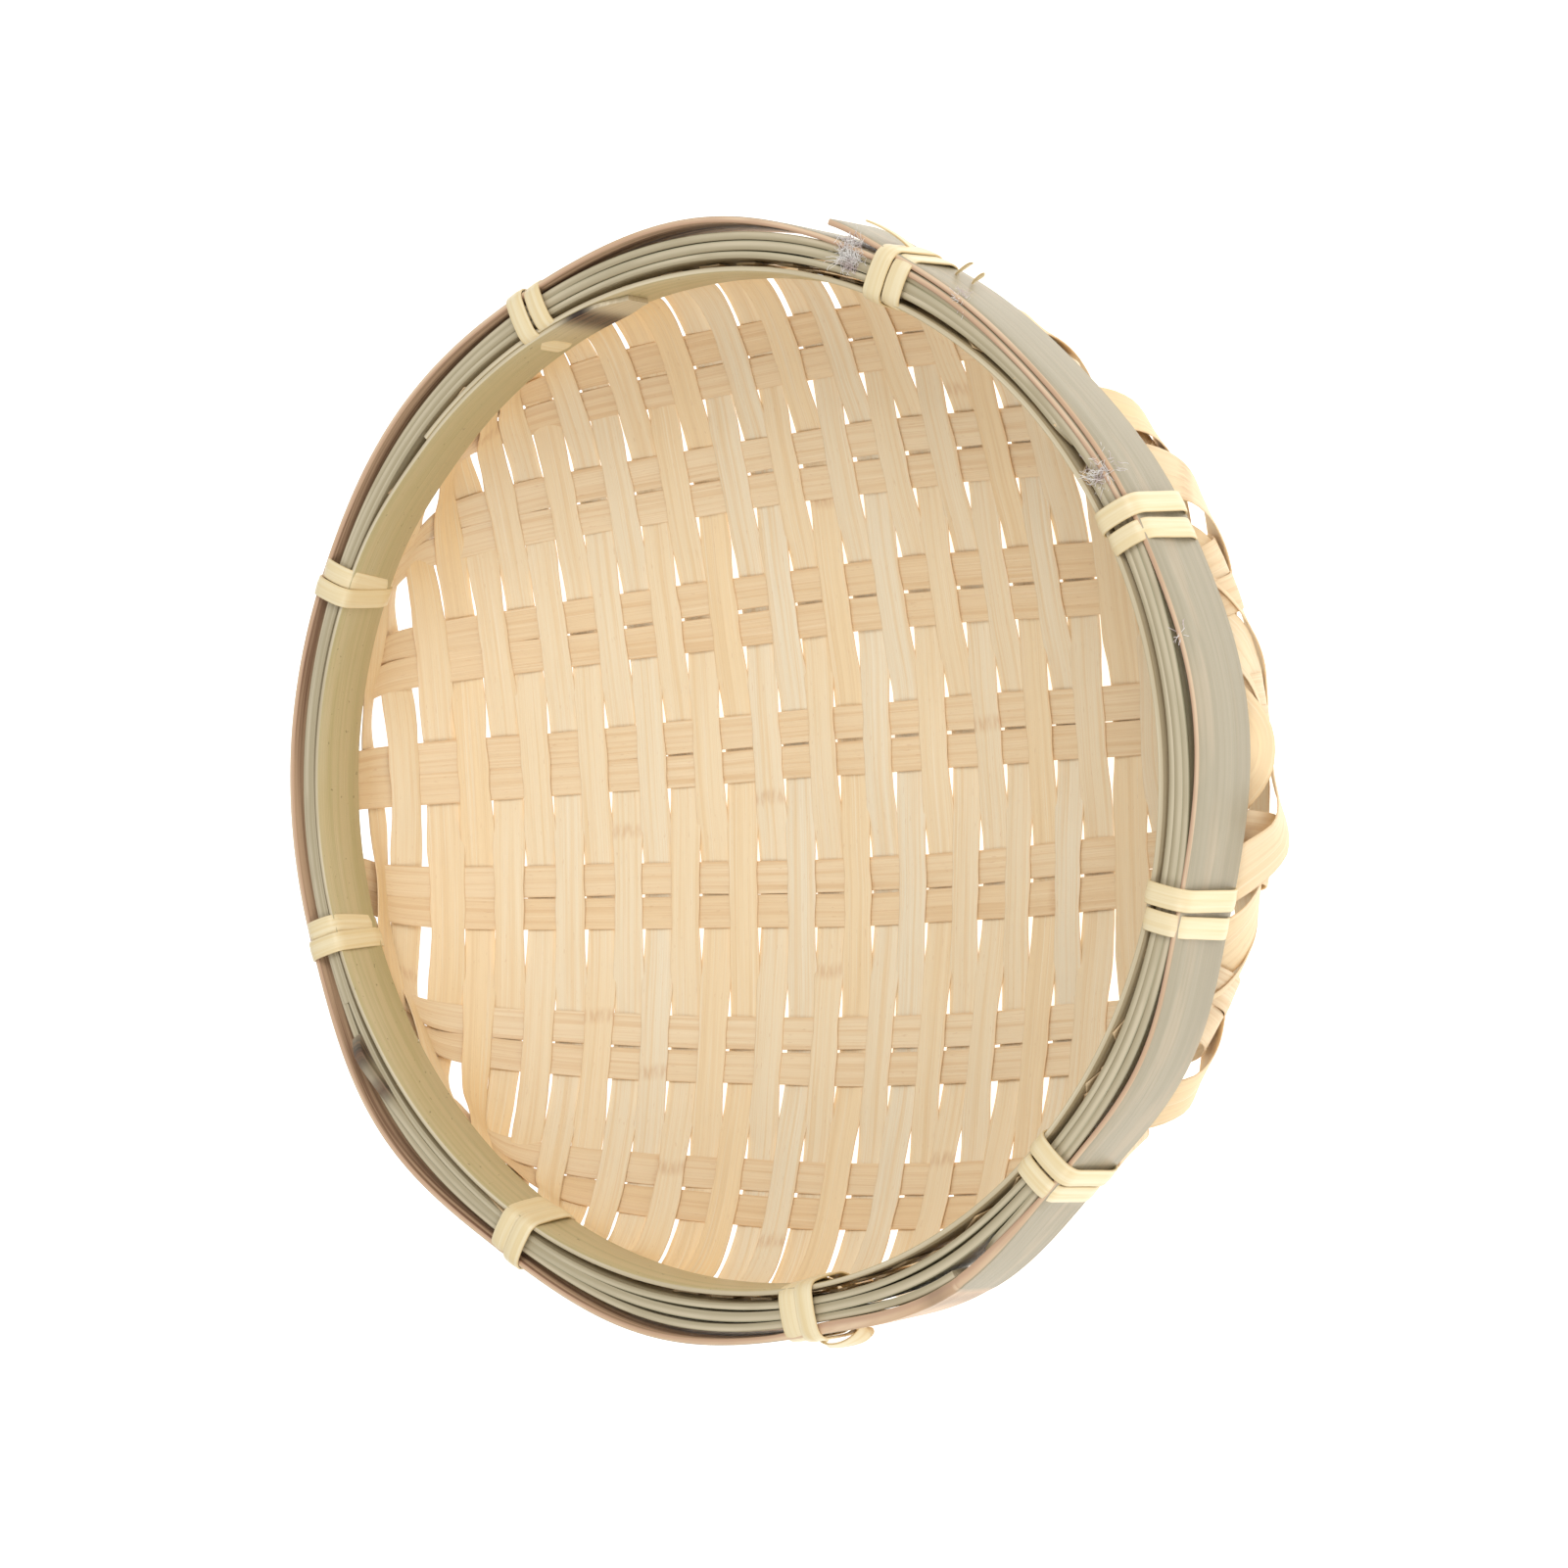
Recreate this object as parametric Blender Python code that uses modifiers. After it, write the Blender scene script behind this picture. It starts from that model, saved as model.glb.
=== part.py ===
"""A shallow round bamboo basket: a bowl woven from flat splints, its ends held between two bent
hoops with filler strips, and nine strip ties round the rim. Metres, +Z up, mouth up. The origin
is on the surface that the basket stands on, under its middle. Single warps run along X, over and
under pairs of wefts that run along Y."""

import math

import bmesh
import bpy
import numpy as np

GAP = 0.0003

# The rim, from its outer hoop inwards.
RIM_RADIUS = 0.100
RIM_TOP = 0.058
OUTER_HOOP_HEIGHT = 0.013
OUTER_HOOP_PLY = 0.0010
LAP_START = math.radians(341.0)
LAP_TURN = math.radians(48.0)
LAP_RAMP = math.radians(50.0)
HOOP_STEP = math.radians(5.0)
FILLER_COUNT = 2
FILLER_THICKNESS = 0.0008
FILLER_HEIGHT = 0.010
FILLER_TOP = 0.0572
INNER_HOOP_RADIUS = 0.0907
INNER_HOOP_THICKNESS = 0.0011
INNER_HOOP_HEIGHT = 0.011
INNER_HOOP_TOP = 0.0576
# The bowl and the inner hoop sit this far off the outer hoop's middle, along -Y.
BOWL_SHIFT = 0.0007

# The weave. In section the bowl's middle surface is flat out to FLOOR_RADIUS, curves up to its
# widest at BULGE_RADIUS, and draws in to a vertical band at WALL_RADIUS between the hoops.
SPLINT_THICKNESS = 0.00045
WARP_LIFT = 0.0009
WARP_COUNT = 33
WARP_FIRST_ARC = -0.0962
WARP_PITCH = 0.0064
# From this warp on, towards +Y, the warps crowd together evenly to the last pitch.
WARP_CROWDS_FROM = 18
WARP_LAST_PITCH = 0.0048
WARP_SPACE = 0.0006
WEFT_WIDTH = 0.0062
WEFT_PITCH_IN_PAIR = 0.0070
PAIR_PLACES = (0.085, 0.062, 0.0355, 0.0080, -0.0215, -0.0525, -0.081)
PAIR_HALF_SPAN = 0.0070
FLOOR_RADIUS = 0.020
FLOOR_HEIGHT = WARP_LIFT + SPLINT_THICKNESS / 2
BULGE_RADIUS = 0.0955
BULGE_HEIGHT = 0.0365
WALL_RADIUS = INNER_HOOP_RADIUS + INNER_HOOP_THICKNESS + GAP + WARP_LIFT + SPLINT_THICKNESS / 2
WALL_BASE = 0.0460
CURVE_POWER = 1.2
SPLINT_TOP = 0.0565
CHORD_ERROR = 0.00012
MOST_PIECES = 12
PROFILE_SAMPLES = 200

# The ties.
TIE_ANGLES = (21.0, 63.0, 105.0, 149.0, 189.0, 224.0, 254.0, 293.0, 332.0)
TIE_THICKNESS = 0.0004
TIE_TURN_WIDTH = 0.0036
TIE_SLIT = 0.0004
TIE_INNER_FOOT = 0.0452
TIE_OUTER_FOOT = 0.0438
TIE_HOOK_IN = 0.0011
TIE_HOOK_OUT = 0.0044
TIE_CORNER = 0.0005
TIE_CLEARANCE = 0.00045

COLOURS = {
    "warp_splint": ((0.84, 0.66, 0.39, 1.0), 0.55),
    "weft_splint": ((0.80, 0.59, 0.32, 1.0), 0.55),
    "outer_hoop": ((0.45, 0.42, 0.29, 1.0), 0.45),
    "inner_hoop": ((0.42, 0.38, 0.20, 1.0), 0.45),
    "filler": ((0.32, 0.30, 0.18, 1.0), 0.50),
    "tie": ((0.86, 0.72, 0.42, 1.0), 0.40),
}


def clear_scene():
    for obj in list(bpy.data.objects):
        bpy.data.objects.remove(obj, do_unlink=True)


def make_material(name):
    colour, roughness = COLOURS[name]
    material = bpy.data.materials.new(name)
    material.use_nodes = True
    shader = material.node_tree.nodes["Principled BSDF"]
    shader.inputs["Base Color"].default_value = colour
    shader.inputs["Roughness"].default_value = roughness
    shader.inputs["Metallic"].default_value = 0.0
    return material


def add_ribbon(collection, name, rows, thickness, material, cut=None):
    """A strip of the given thickness, from rows of points across it. cut takes a (row, column)
    pair and says whether that face is left out."""
    row_count, column_count = len(rows), len(rows[0])
    mesh = bpy.data.meshes.new(name)
    grid = bmesh.new()
    bmesh.ops.create_grid(grid, x_segments=row_count - 1, y_segments=column_count - 1, size=1.0)
    places = {}
    for vertex in grid.verts:
        row = round((vertex.co.x + 1) / 2 * (row_count - 1))
        column = round((vertex.co.y + 1) / 2 * (column_count - 1))
        places[vertex] = (row, column)
    if cut:
        removed = []
        for face in grid.faces:
            row = min(places[vertex][0] for vertex in face.verts)
            column = min(places[vertex][1] for vertex in face.verts)
            if cut(row, column):
                removed.append(face)
        bmesh.ops.delete(grid, geom=removed, context="FACES_ONLY")
    for vertex, (row, column) in places.items():
        vertex.co = rows[row][column]
    grid.to_mesh(mesh)
    grid.free()
    obj = bpy.data.objects.new(name, mesh)
    collection.objects.link(obj)
    mesh.materials.append(material)
    solidify = obj.modifiers.new("thickness", "SOLIDIFY")
    solidify.thickness = thickness
    solidify.offset = 0.0
    return obj


def bowl_profile():
    """The bowl's middle surface in section: (radius, height) points from the axis to the rim."""
    turn = np.linspace(0.0, math.pi / 2, PROFILE_SAMPLES)
    reach = BULGE_RADIUS - FLOOR_RADIUS
    side = np.stack(
        [
            FLOOR_RADIUS + reach * np.sin(turn) ** (2 / CURVE_POWER),
            FLOOR_HEIGHT + (BULGE_HEIGHT - FLOOR_HEIGHT) * (1 - np.cos(turn)),
        ],
        axis=1,
    )
    share = np.linspace(0.0, 1.0, PROFILE_SAMPLES)[1:]
    neck = np.stack(
        [
            BULGE_RADIUS - (BULGE_RADIUS - WALL_RADIUS) * (1 - np.cos(share * math.pi)) / 2,
            BULGE_HEIGHT + (WALL_BASE - BULGE_HEIGHT) * share,
        ],
        axis=1,
    )
    axis = np.array([[0.0, FLOOR_HEIGHT]])
    top = np.array([[WALL_RADIUS, SPLINT_TOP]])
    return np.concatenate([axis, side, neck, top])


PROFILE = bowl_profile()
PROFILE_STEPS = np.diff(PROFILE, axis=0)
PROFILE_LENGTHS = np.linalg.norm(PROFILE_STEPS, axis=1)
# The axis point comes first, so the widest point is this one.
BULGE_INDEX = PROFILE_SAMPLES


def onto_bowl(point, lift):
    """The point of the bowl's middle surface nearest to this one, raised by lift into the bowl,
    and the surface's normal there."""
    radius = math.hypot(point[0], point[1])
    place = np.array([radius, point[2]])
    share = ((place - PROFILE[:-1]) * PROFILE_STEPS).sum(axis=1) / PROFILE_LENGTHS**2
    near = PROFILE[:-1] + PROFILE_STEPS * np.clip(share, 0.0, 1.0)[:, None]
    best = int(np.argmin(np.linalg.norm(near - place, axis=1)))
    rise = PROFILE_STEPS[best] / PROFILE_LENGTHS[best]
    outward = np.array([point[0], point[1]]) / max(radius, GAP)
    normal = np.array([-rise[1] * outward[0], -rise[1] * outward[1], rise[0]])
    middle = np.array([near[best][0] * outward[0], near[best][0] * outward[1], near[best][1]])
    return middle + normal * lift, normal


def plan_place(arc):
    """The distance from the bowl's axis that lies this far along its section."""
    lengths = np.concatenate([[0.0], np.cumsum(PROFILE_LENGTHS)])
    return math.copysign(float(np.interp(abs(arc), lengths, PROFILE[:, 0])), arc)


def splint_path(side):
    """A splint's line at a fixed plan distance from the axis: the plan distances along it, its
    heights and the lengths up to them, for one half, from its lowest point to its end."""
    beyond = PROFILE[:, 0] > abs(side) + GAP
    low = PROFILE[: BULGE_INDEX + 1]
    run = np.append(0.0, np.sqrt(PROFILE[beyond, 0] ** 2 - side**2))
    height = np.append(np.interp(abs(side), low[:, 0], low[:, 1]), PROFILE[beyond, 1])
    length = np.concatenate([[0.0], np.cumsum(np.hypot(np.diff(run), np.diff(height)))])
    return run, height, length


def fill_stations(wanted, centre):
    """The wanted lengths with more between them, so that straight steps keep to the curve."""
    wanted = sorted(wanted)
    stations = [wanted[0]]
    for end in wanted[1:]:
        start = stations[-1]
        if end - start < GAP:
            continue
        pieces = 1
        while pieces < MOST_PIECES:
            ends = [centre(start + (end - start) * piece / pieces) for piece in range(pieces + 1)]
            halves = [centre(start + (end - start) * (piece + 0.5) / pieces) for piece in range(pieces)]
            misses = [
                np.linalg.norm(half - (low + high) / 2)
                for half, low, high in zip(halves, ends, ends[1:])
            ]
            if max(misses) < CHORD_ERROR:
                break
            pieces += 1
        stations += [start + (end - start) * piece / pieces for piece in range(1, pieces + 1)]
    return stations


def splint_rows(side, width, along_x, crossings, lifts):
    """Rows of two points across a splint. crossings are plan places where a station is wanted,
    and lifts gives (plan place, lift) pairs between which the lift runs smoothly."""
    run, height, length = splint_path(side)
    widest = int(np.argmax(run))
    wall_start = length[-2]

    def length_at(place):
        return math.copysign(float(np.interp(abs(place), run[: widest + 1], length[: widest + 1])), place)

    wanted = [-length[-1], -wall_start, wall_start, length[-1]]
    wanted += [length_at(place) for place in crossings if abs(place) < run[widest]]
    lift_lengths = [length_at(place) for place, _ in lifts]
    lift_values = [value for _, value in lifts]

    def centre(station):
        plan = math.copysign(float(np.interp(abs(station), length, run)), station)
        return np.array([plan, side, float(np.interp(abs(station), length, height))])

    rows = []
    for station in fill_stations(wanted, centre):
        point = centre(station)
        along = centre(station + GAP) - centre(station - GAP)
        if abs(station) > wall_start:
            along = np.array([0.0, 0.0, math.copysign(1.0, station)])
        _, normal = onto_bowl(point, 0.0)
        across = np.cross(normal, along)
        across *= width / 2 / np.linalg.norm(across)
        lift = float(np.interp(station, lift_lengths, lift_values)) if lifts else 0.0
        row = [onto_bowl(point - across, lift)[0], onto_bowl(point + across, lift)[0]]
        if not along_x:
            row = [np.array([-place[1], place[0], place[2]]) for place in row]
        rows.append([place - np.array([0.0, BOWL_SHIFT, 0.0]) for place in row])
    return rows


def warp_layout():
    """Each warp's plan distance from the bowl's axis and its width, from -Y to +Y."""
    pitches = [
        float(np.interp(index, [WARP_CROWDS_FROM, WARP_COUNT - 1], [WARP_PITCH, WARP_LAST_PITCH]))
        for index in range(WARP_COUNT)
    ]
    arcs = [WARP_FIRST_ARC + sum(pitches[:index]) for index in range(WARP_COUNT)]
    return [(plan_place(arc), pitch - WARP_SPACE) for arc, pitch in zip(arcs, pitches)]


def add_warps(collection, material):
    pairs = [(plan_place(arc), number) for number, arc in enumerate(PAIR_PLACES)]
    pairs.sort()
    for index, (side, width) in enumerate(warp_layout()):
        reach = math.sqrt(BULGE_RADIUS**2 - side**2)
        lifts = []
        crossings = []
        for place, number in pairs:
            if abs(place) - WEFT_PITCH_IN_PAIR / 2 > reach - GAP:
                continue
            lift = -WARP_LIFT if (number + index) % 2 else WARP_LIFT
            lifts += [(place - PAIR_HALF_SPAN, lift), (place + PAIR_HALF_SPAN, lift)]
            crossings += [place - PAIR_HALF_SPAN, place + PAIR_HALF_SPAN]
        rows = splint_rows(side, width, True, crossings, lifts)
        add_ribbon(collection, f"warp_{index + 1:02d}", rows, SPLINT_THICKNESS, material)


def add_wefts(collection, material):
    sides = [side for side, _ in warp_layout()]
    between_warps = [(near + far) / 2 for near, far in zip(sides, sides[1:])]
    number = 0
    for arc in PAIR_PLACES:
        for half in (1, -1):
            number += 1
            side = plan_place(arc + half * WEFT_PITCH_IN_PAIR / 2)
            # A weft runs along Y, so its own sideways place is -X of the frame it is built in.
            rows = splint_rows(-side, WEFT_WIDTH, False, between_warps, [])
            add_ribbon(collection, f"weft_{number:02d}", rows, SPLINT_THICKNESS, material)


def hoop_rows(angles, radii, bottom, top, shift):
    rows = []
    for angle, radius in zip(angles, radii):
        x = radius * math.cos(angle)
        y = radius * math.sin(angle) - shift
        rows.append([np.array([x, y, bottom]), np.array([x, y, top])])
    return rows


def add_outer_hoop(collection, material):
    """One strip, bent round once and lapped inside its own start."""
    turned = 2 * math.pi + LAP_TURN
    steps = math.ceil(turned / HOOP_STEP)
    travel = [turned * step / steps for step in range(steps + 1)]
    outer = RIM_RADIUS - OUTER_HOOP_PLY / 2
    inner = outer - OUTER_HOOP_PLY - GAP
    ramp = [2 * math.pi - LAP_RAMP, 2 * math.pi - GAP / RIM_RADIUS]
    radii = [float(np.interp(angle, ramp, [outer, inner])) for angle in travel]
    angles = [LAP_START - angle for angle in travel]
    rows = hoop_rows(angles, radii, RIM_TOP - OUTER_HOOP_HEIGHT, RIM_TOP, 0.0)
    add_ribbon(collection, "outer_hoop", rows, OUTER_HOOP_PLY, material)


def add_ring(collection, name, inner_radius, thickness, bottom, top, material):
    """A closed hoop of rectangular section, turned by a Screw modifier."""
    mesh = bpy.data.meshes.new(name)
    outer_radius = inner_radius + thickness
    profile = bmesh.new()
    corners = [(outer_radius, top), (outer_radius, bottom), (inner_radius, bottom), (inner_radius, top)]
    vertices = [profile.verts.new((radius, 0.0, height)) for radius, height in corners]
    for start, end in zip(vertices, vertices[1:] + vertices[:1]):
        profile.edges.new((start, end))
    profile.to_mesh(mesh)
    profile.free()
    obj = bpy.data.objects.new(name, mesh)
    obj.location = (0.0, -BOWL_SHIFT, 0.0)
    collection.objects.link(obj)
    mesh.materials.append(material)
    screw = obj.modifiers.new("turn", "SCREW")
    screw.steps = round(2 * math.pi / HOOP_STEP)
    screw.render_steps = screw.steps
    screw.use_merge_vertices = True
    screw.merge_threshold = 0.00001


def tie_path(angle):
    """The tie's section, as (radius, height) points from its foot inside the bowl over the rim
    to its foot outside."""
    clear = TIE_CLEARANCE + TIE_THICKNESS / 2
    inner_face = INNER_HOOP_RADIUS - BOWL_SHIFT * math.sin(angle) - clear
    outer_face = RIM_RADIUS + clear
    crown = RIM_TOP + clear
    return [
        (inner_face + TIE_HOOK_IN, TIE_INNER_FOOT),
        (inner_face, TIE_INNER_FOOT + TIE_HOOK_IN),
        (inner_face, INNER_HOOP_TOP + clear - TIE_CORNER),
        (inner_face + TIE_CORNER, INNER_HOOP_TOP + clear),
        (outer_face - TIE_CORNER, crown),
        (outer_face, crown - TIE_CORNER),
        (outer_face, TIE_OUTER_FOOT + TIE_CORNER),
        (outer_face - TIE_CORNER, TIE_OUTER_FOOT),
        (outer_face - TIE_HOOK_OUT, TIE_OUTER_FOOT),
    ]


def add_ties(collection, material):
    """Each tie is one strip in two turns, side by side, joined at the foot outside."""
    half_slit = TIE_SLIT / 2
    columns = [-half_slit - TIE_TURN_WIDTH, -half_slit, half_slit, half_slit + TIE_TURN_WIDTH]
    for number, degrees in enumerate(TIE_ANGLES, start=1):
        angle = math.radians(degrees)
        outward = np.array([math.cos(angle), math.sin(angle), 0.0])
        across = np.array([-math.sin(angle), math.cos(angle), 0.0])
        upward = np.array([0.0, 0.0, 1.0])
        rows = []
        for radius, height in tie_path(angle):
            middle = outward * radius + upward * height
            rows.append([middle + across * column for column in columns])
        last_row = len(rows) - 2

        def in_slit(row, column):
            return column == 1 and row != last_row

        add_ribbon(collection, f"tie_{number}", rows, TIE_THICKNESS, material, in_slit)


def main():
    clear_scene()
    collection = bpy.data.collections.new("woven_bamboo_basket")
    bpy.context.scene.collection.children.link(collection)
    materials = {name: make_material(name) for name in COLOURS}
    add_warps(collection, materials["warp_splint"])
    add_wefts(collection, materials["weft_splint"])
    add_outer_hoop(collection, materials["outer_hoop"])
    add_ring(
        collection,
        "inner_hoop",
        INNER_HOOP_RADIUS,
        INNER_HOOP_THICKNESS,
        INNER_HOOP_TOP - INNER_HOOP_HEIGHT,
        INNER_HOOP_TOP,
        materials["inner_hoop"],
    )
    for number in range(FILLER_COUNT):
        inner_radius = WALL_RADIUS + FLOOR_HEIGHT + GAP + number * (FILLER_THICKNESS + GAP)
        add_ring(
            collection,
            f"filler_{number + 1}",
            inner_radius,
            FILLER_THICKNESS,
            FILLER_TOP - FILLER_HEIGHT,
            FILLER_TOP,
            materials["filler"],
        )
    add_ties(collection, materials["tie"])


main()
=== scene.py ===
"""A shallow round bamboo basket, hand woven from flat splints and bound to a bent hoop rim.

Every strip of the basket is one piece that stands for its CAD node: single warps along X, pairs
of wefts along Y, an inner and an outer hoop, filler strips on edge and nine strip ties. A strip
is swept by one Geometry Nodes tree along a path of points, with its own width, thickness and
twist. Metres, +Z up.
"""

import logging
import math
from dataclasses import dataclass
from enum import Enum

import bmesh
import bpy
import numpy as np
from mathutils import Matrix, Vector


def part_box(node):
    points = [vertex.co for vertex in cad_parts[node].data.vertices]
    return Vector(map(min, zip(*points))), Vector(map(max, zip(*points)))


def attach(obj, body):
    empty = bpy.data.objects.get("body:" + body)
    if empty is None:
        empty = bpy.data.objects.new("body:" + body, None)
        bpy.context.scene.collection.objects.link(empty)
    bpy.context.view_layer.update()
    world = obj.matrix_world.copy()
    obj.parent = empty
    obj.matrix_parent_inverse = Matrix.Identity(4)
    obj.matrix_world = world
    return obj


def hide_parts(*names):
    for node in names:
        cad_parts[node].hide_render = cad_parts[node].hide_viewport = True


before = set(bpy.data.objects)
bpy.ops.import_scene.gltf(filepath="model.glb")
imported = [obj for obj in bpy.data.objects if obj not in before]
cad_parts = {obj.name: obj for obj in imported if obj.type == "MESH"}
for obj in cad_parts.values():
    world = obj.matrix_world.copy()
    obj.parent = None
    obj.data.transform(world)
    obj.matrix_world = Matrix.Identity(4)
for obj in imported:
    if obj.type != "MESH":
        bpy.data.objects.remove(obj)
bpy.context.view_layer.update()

LOG = logging.getLogger("basket")
MM = 0.001
TURN = 2 * math.pi
UP = np.array([0.0, 0.0, 1.0])
HOOP_SQUARENESS = 0.035


class Grain(Enum):
    """The kinds of bamboo surface on the basket."""

    WARP = "warp_splint"
    WEFT = "weft_splint"
    OUTER_HOOP = "outer_hoop"
    INNER_HOOP = "inner_hoop"
    FILLER = "filler"
    TIE = "tie"


def eased(places: np.ndarray, stops: list[float], values: list[float]) -> np.ndarray:
    """Runs smoothly from value to value, level at each stop.

    Args:
        places: Where the result is wanted.
        stops: Rising places of the values.
        values: One value for each stop.

    Returns:
        The eased value at each place.
    """
    stops_array = np.asarray(stops, float)
    values_array = np.asarray(values, float)
    low = np.clip(np.searchsorted(stops_array, places) - 1, 0, len(stops_array) - 2)
    span = stops_array[low + 1] - stops_array[low]
    share = np.clip((places - stops_array[low]) / span, 0.0, 1.0)
    share = share * share * (3 - 2 * share)
    return values_array[low] * (1 - share) + values_array[low + 1] * share


def unit(vectors: np.ndarray) -> np.ndarray:
    """Scales each row to length 1.

    Args:
        vectors: Rows of three numbers.

    Returns:
        The same directions, each of length 1.
    """
    return vectors / np.maximum(np.linalg.norm(vectors, axis=-1, keepdims=True), 1e-12)


def wander(places: np.ndarray, rng: np.random.Generator, reach: float, wave: float) -> np.ndarray:
    """A slow, seeded drift from side to side.

    Args:
        places: Lengths along a strip.
        rng: The seeded source of the phases.
        reach: The largest drift.
        wave: The longest wavelength.

    Returns:
        The drift at each place.
    """
    total = np.zeros_like(places)
    weights = (0.5, 0.3, 0.2)
    for order, weight in enumerate(weights, start=1):
        phase = rng.uniform(0.0, TURN)
        stretch = rng.uniform(0.8, 1.2)
        total += weight * np.sin(places / wave * TURN * order * stretch + phase)
    return total * reach


def smoothed(rows: np.ndarray, passes: int) -> np.ndarray:
    """Evens out each row with its neighbours, and keeps the ends.

    Args:
        rows: Numbers, or rows of them.
        passes: How many times.

    Returns:
        The evened rows.
    """
    even = rows.copy()
    for _ in range(passes):
        even[1:-1] = (even[:-2] + 2 * even[1:-1] + even[2:]) / 4
    return even


def run_length(points: np.ndarray) -> np.ndarray:
    """The length along a run of points.

    Args:
        points: Rows of places.

    Returns:
        The length at each point, from 0.
    """
    return np.concatenate([[0.0], np.cumsum(np.linalg.norm(np.diff(points, axis=0), axis=1))])


def spaced(rows: np.ndarray, length: np.ndarray, count: int) -> np.ndarray:
    """Takes rows at even lengths.

    Args:
        rows: The rows.
        length: The length at each row.
        count: How many rows to take.

    Returns:
        The evenly spaced rows.
    """
    stations = np.linspace(0.0, length[-1], count)
    return np.stack([np.interp(stations, length, column) for column in rows.T], axis=1)


def bell(places: np.ndarray, middle: float, width: float, power: int = 2) -> np.ndarray:
    """A bump of height 1.

    Args:
        places: Where the result is wanted.
        middle: The place of its top.
        width: How far from the top it has fallen to 1/e.
        power: 2 for a round bump, 4 for one with a flatter top.

    Returns:
        The bump's height at each place.
    """
    return np.exp(-(((places - middle) / width) ** power))


def outward_at(degrees: np.ndarray) -> np.ndarray:
    """Level directions away from the axis.

    Args:
        degrees: Angles from +X towards +Y.

    Returns:
        A row of length 1 for each angle.
    """
    radians = np.radians(degrees)
    return np.stack([np.cos(radians), np.sin(radians), np.zeros(len(radians))], axis=1)


def put_in_scene(name: str, data: bpy.types.ID) -> bpy.types.Object:
    """Makes an object of a mesh, lamp or camera, at the origin.

    Args:
        name: The object's name.
        data: What it shows.

    Returns:
        The object.
    """
    placed = bpy.data.objects.new(name, data)
    bpy.context.scene.collection.objects.link(placed)
    return placed


def stand_for(piece: bpy.types.Object, node: str) -> bpy.types.Object:
    """Hides the CAD node that a piece stands for.

    Args:
        piece: The piece.
        node: The node that it stands for.

    Returns:
        The piece.
    """
    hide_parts(node)
    return piece


@dataclass
class Strand:
    """One strip to be swept: its path and what changes along it.

    The facing vectors point out of the side of the strip that shows most.
    """

    points: np.ndarray
    facing: np.ndarray
    half_width: np.ndarray
    half_thick: np.ndarray
    tone: np.ndarray
    stain: np.ndarray
    bare: np.ndarray
    cup: np.ndarray
    travel_start: float = 0.0
    squareness: float = 0.10

    @classmethod
    def even(
        cls,
        points: np.ndarray,
        facing: np.ndarray,
        width: float,
        thickness: float,
        tone: float = 0.5,
        travel_start: float = 0.0,
        squareness: float = 0.10,
    ) -> "Strand":
        """A strand of one width, thickness and tone.

        Args:
            points: The path.
            facing: The side that shows, at each point.
            width: Full width.
            thickness: Full thickness.
            tone: From 0, pale, to 1, brown.
            travel_start: Where the grain starts, in metres.
            squareness: The section's corners, from 0, square, to 1, round.

        Returns:
            The strand.
        """
        ones = np.ones(len(points))
        return cls(
            points=points,
            facing=facing,
            half_width=ones * width / 2,
            half_thick=ones * thickness / 2,
            tone=ones * tone,
            stain=ones * 0.0,
            bare=ones * 0.0,
            cup=ones * 0.0,
            travel_start=travel_start,
            squareness=squareness,
        )


class TreeWork:
    """A node tree, with short ways to add and join its nodes."""

    def __init__(self, tree: bpy.types.NodeTree) -> None:
        """Takes up a tree.

        Args:
            tree: The tree to build in.
        """
        self.tree = tree

    def put(self, value: object, socket: bpy.types.NodeSocket) -> None:
        """Joins a socket to another, or sets a number or colour on it.

        Args:
            value: A socket, number or colour.
            socket: The input that takes it.
        """
        if isinstance(value, bpy.types.NodeSocket):
            self.tree.links.new(value, socket)
        else:
            socket.default_value = value

    def add(self, kind: str, inputs: dict[str | int, object], **settings: object) -> bpy.types.Node:
        """Adds a node.

        Args:
            kind: The node's type.
            inputs: A socket or a value for each input that is set.
            settings: The node's own settings.

        Returns:
            The node.
        """
        node = self.tree.nodes.new(kind)
        for name, value in settings.items():
            setattr(node, name, value)
        for name, value in inputs.items():
            self.put(value, node.inputs[name])
        return node

    def math(self, operation: str, *values: object) -> bpy.types.NodeSocket:
        """One Math node.

        Args:
            operation: The node's operation.
            values: A socket or a number for each input.

        Returns:
            The result's socket.
        """
        return self.add("ShaderNodeMath", dict(enumerate(values)), operation=operation).outputs[0]

    def vector(self, operation: str, inputs: dict[str | int, object]) -> bpy.types.NodeSocket:
        """One Vector Math node.

        Args:
            operation: The node's operation.
            inputs: A socket or a value for each input.

        Returns:
            The result's socket.
        """
        return self.add("ShaderNodeVectorMath", inputs, operation=operation).outputs["Vector"]


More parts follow.
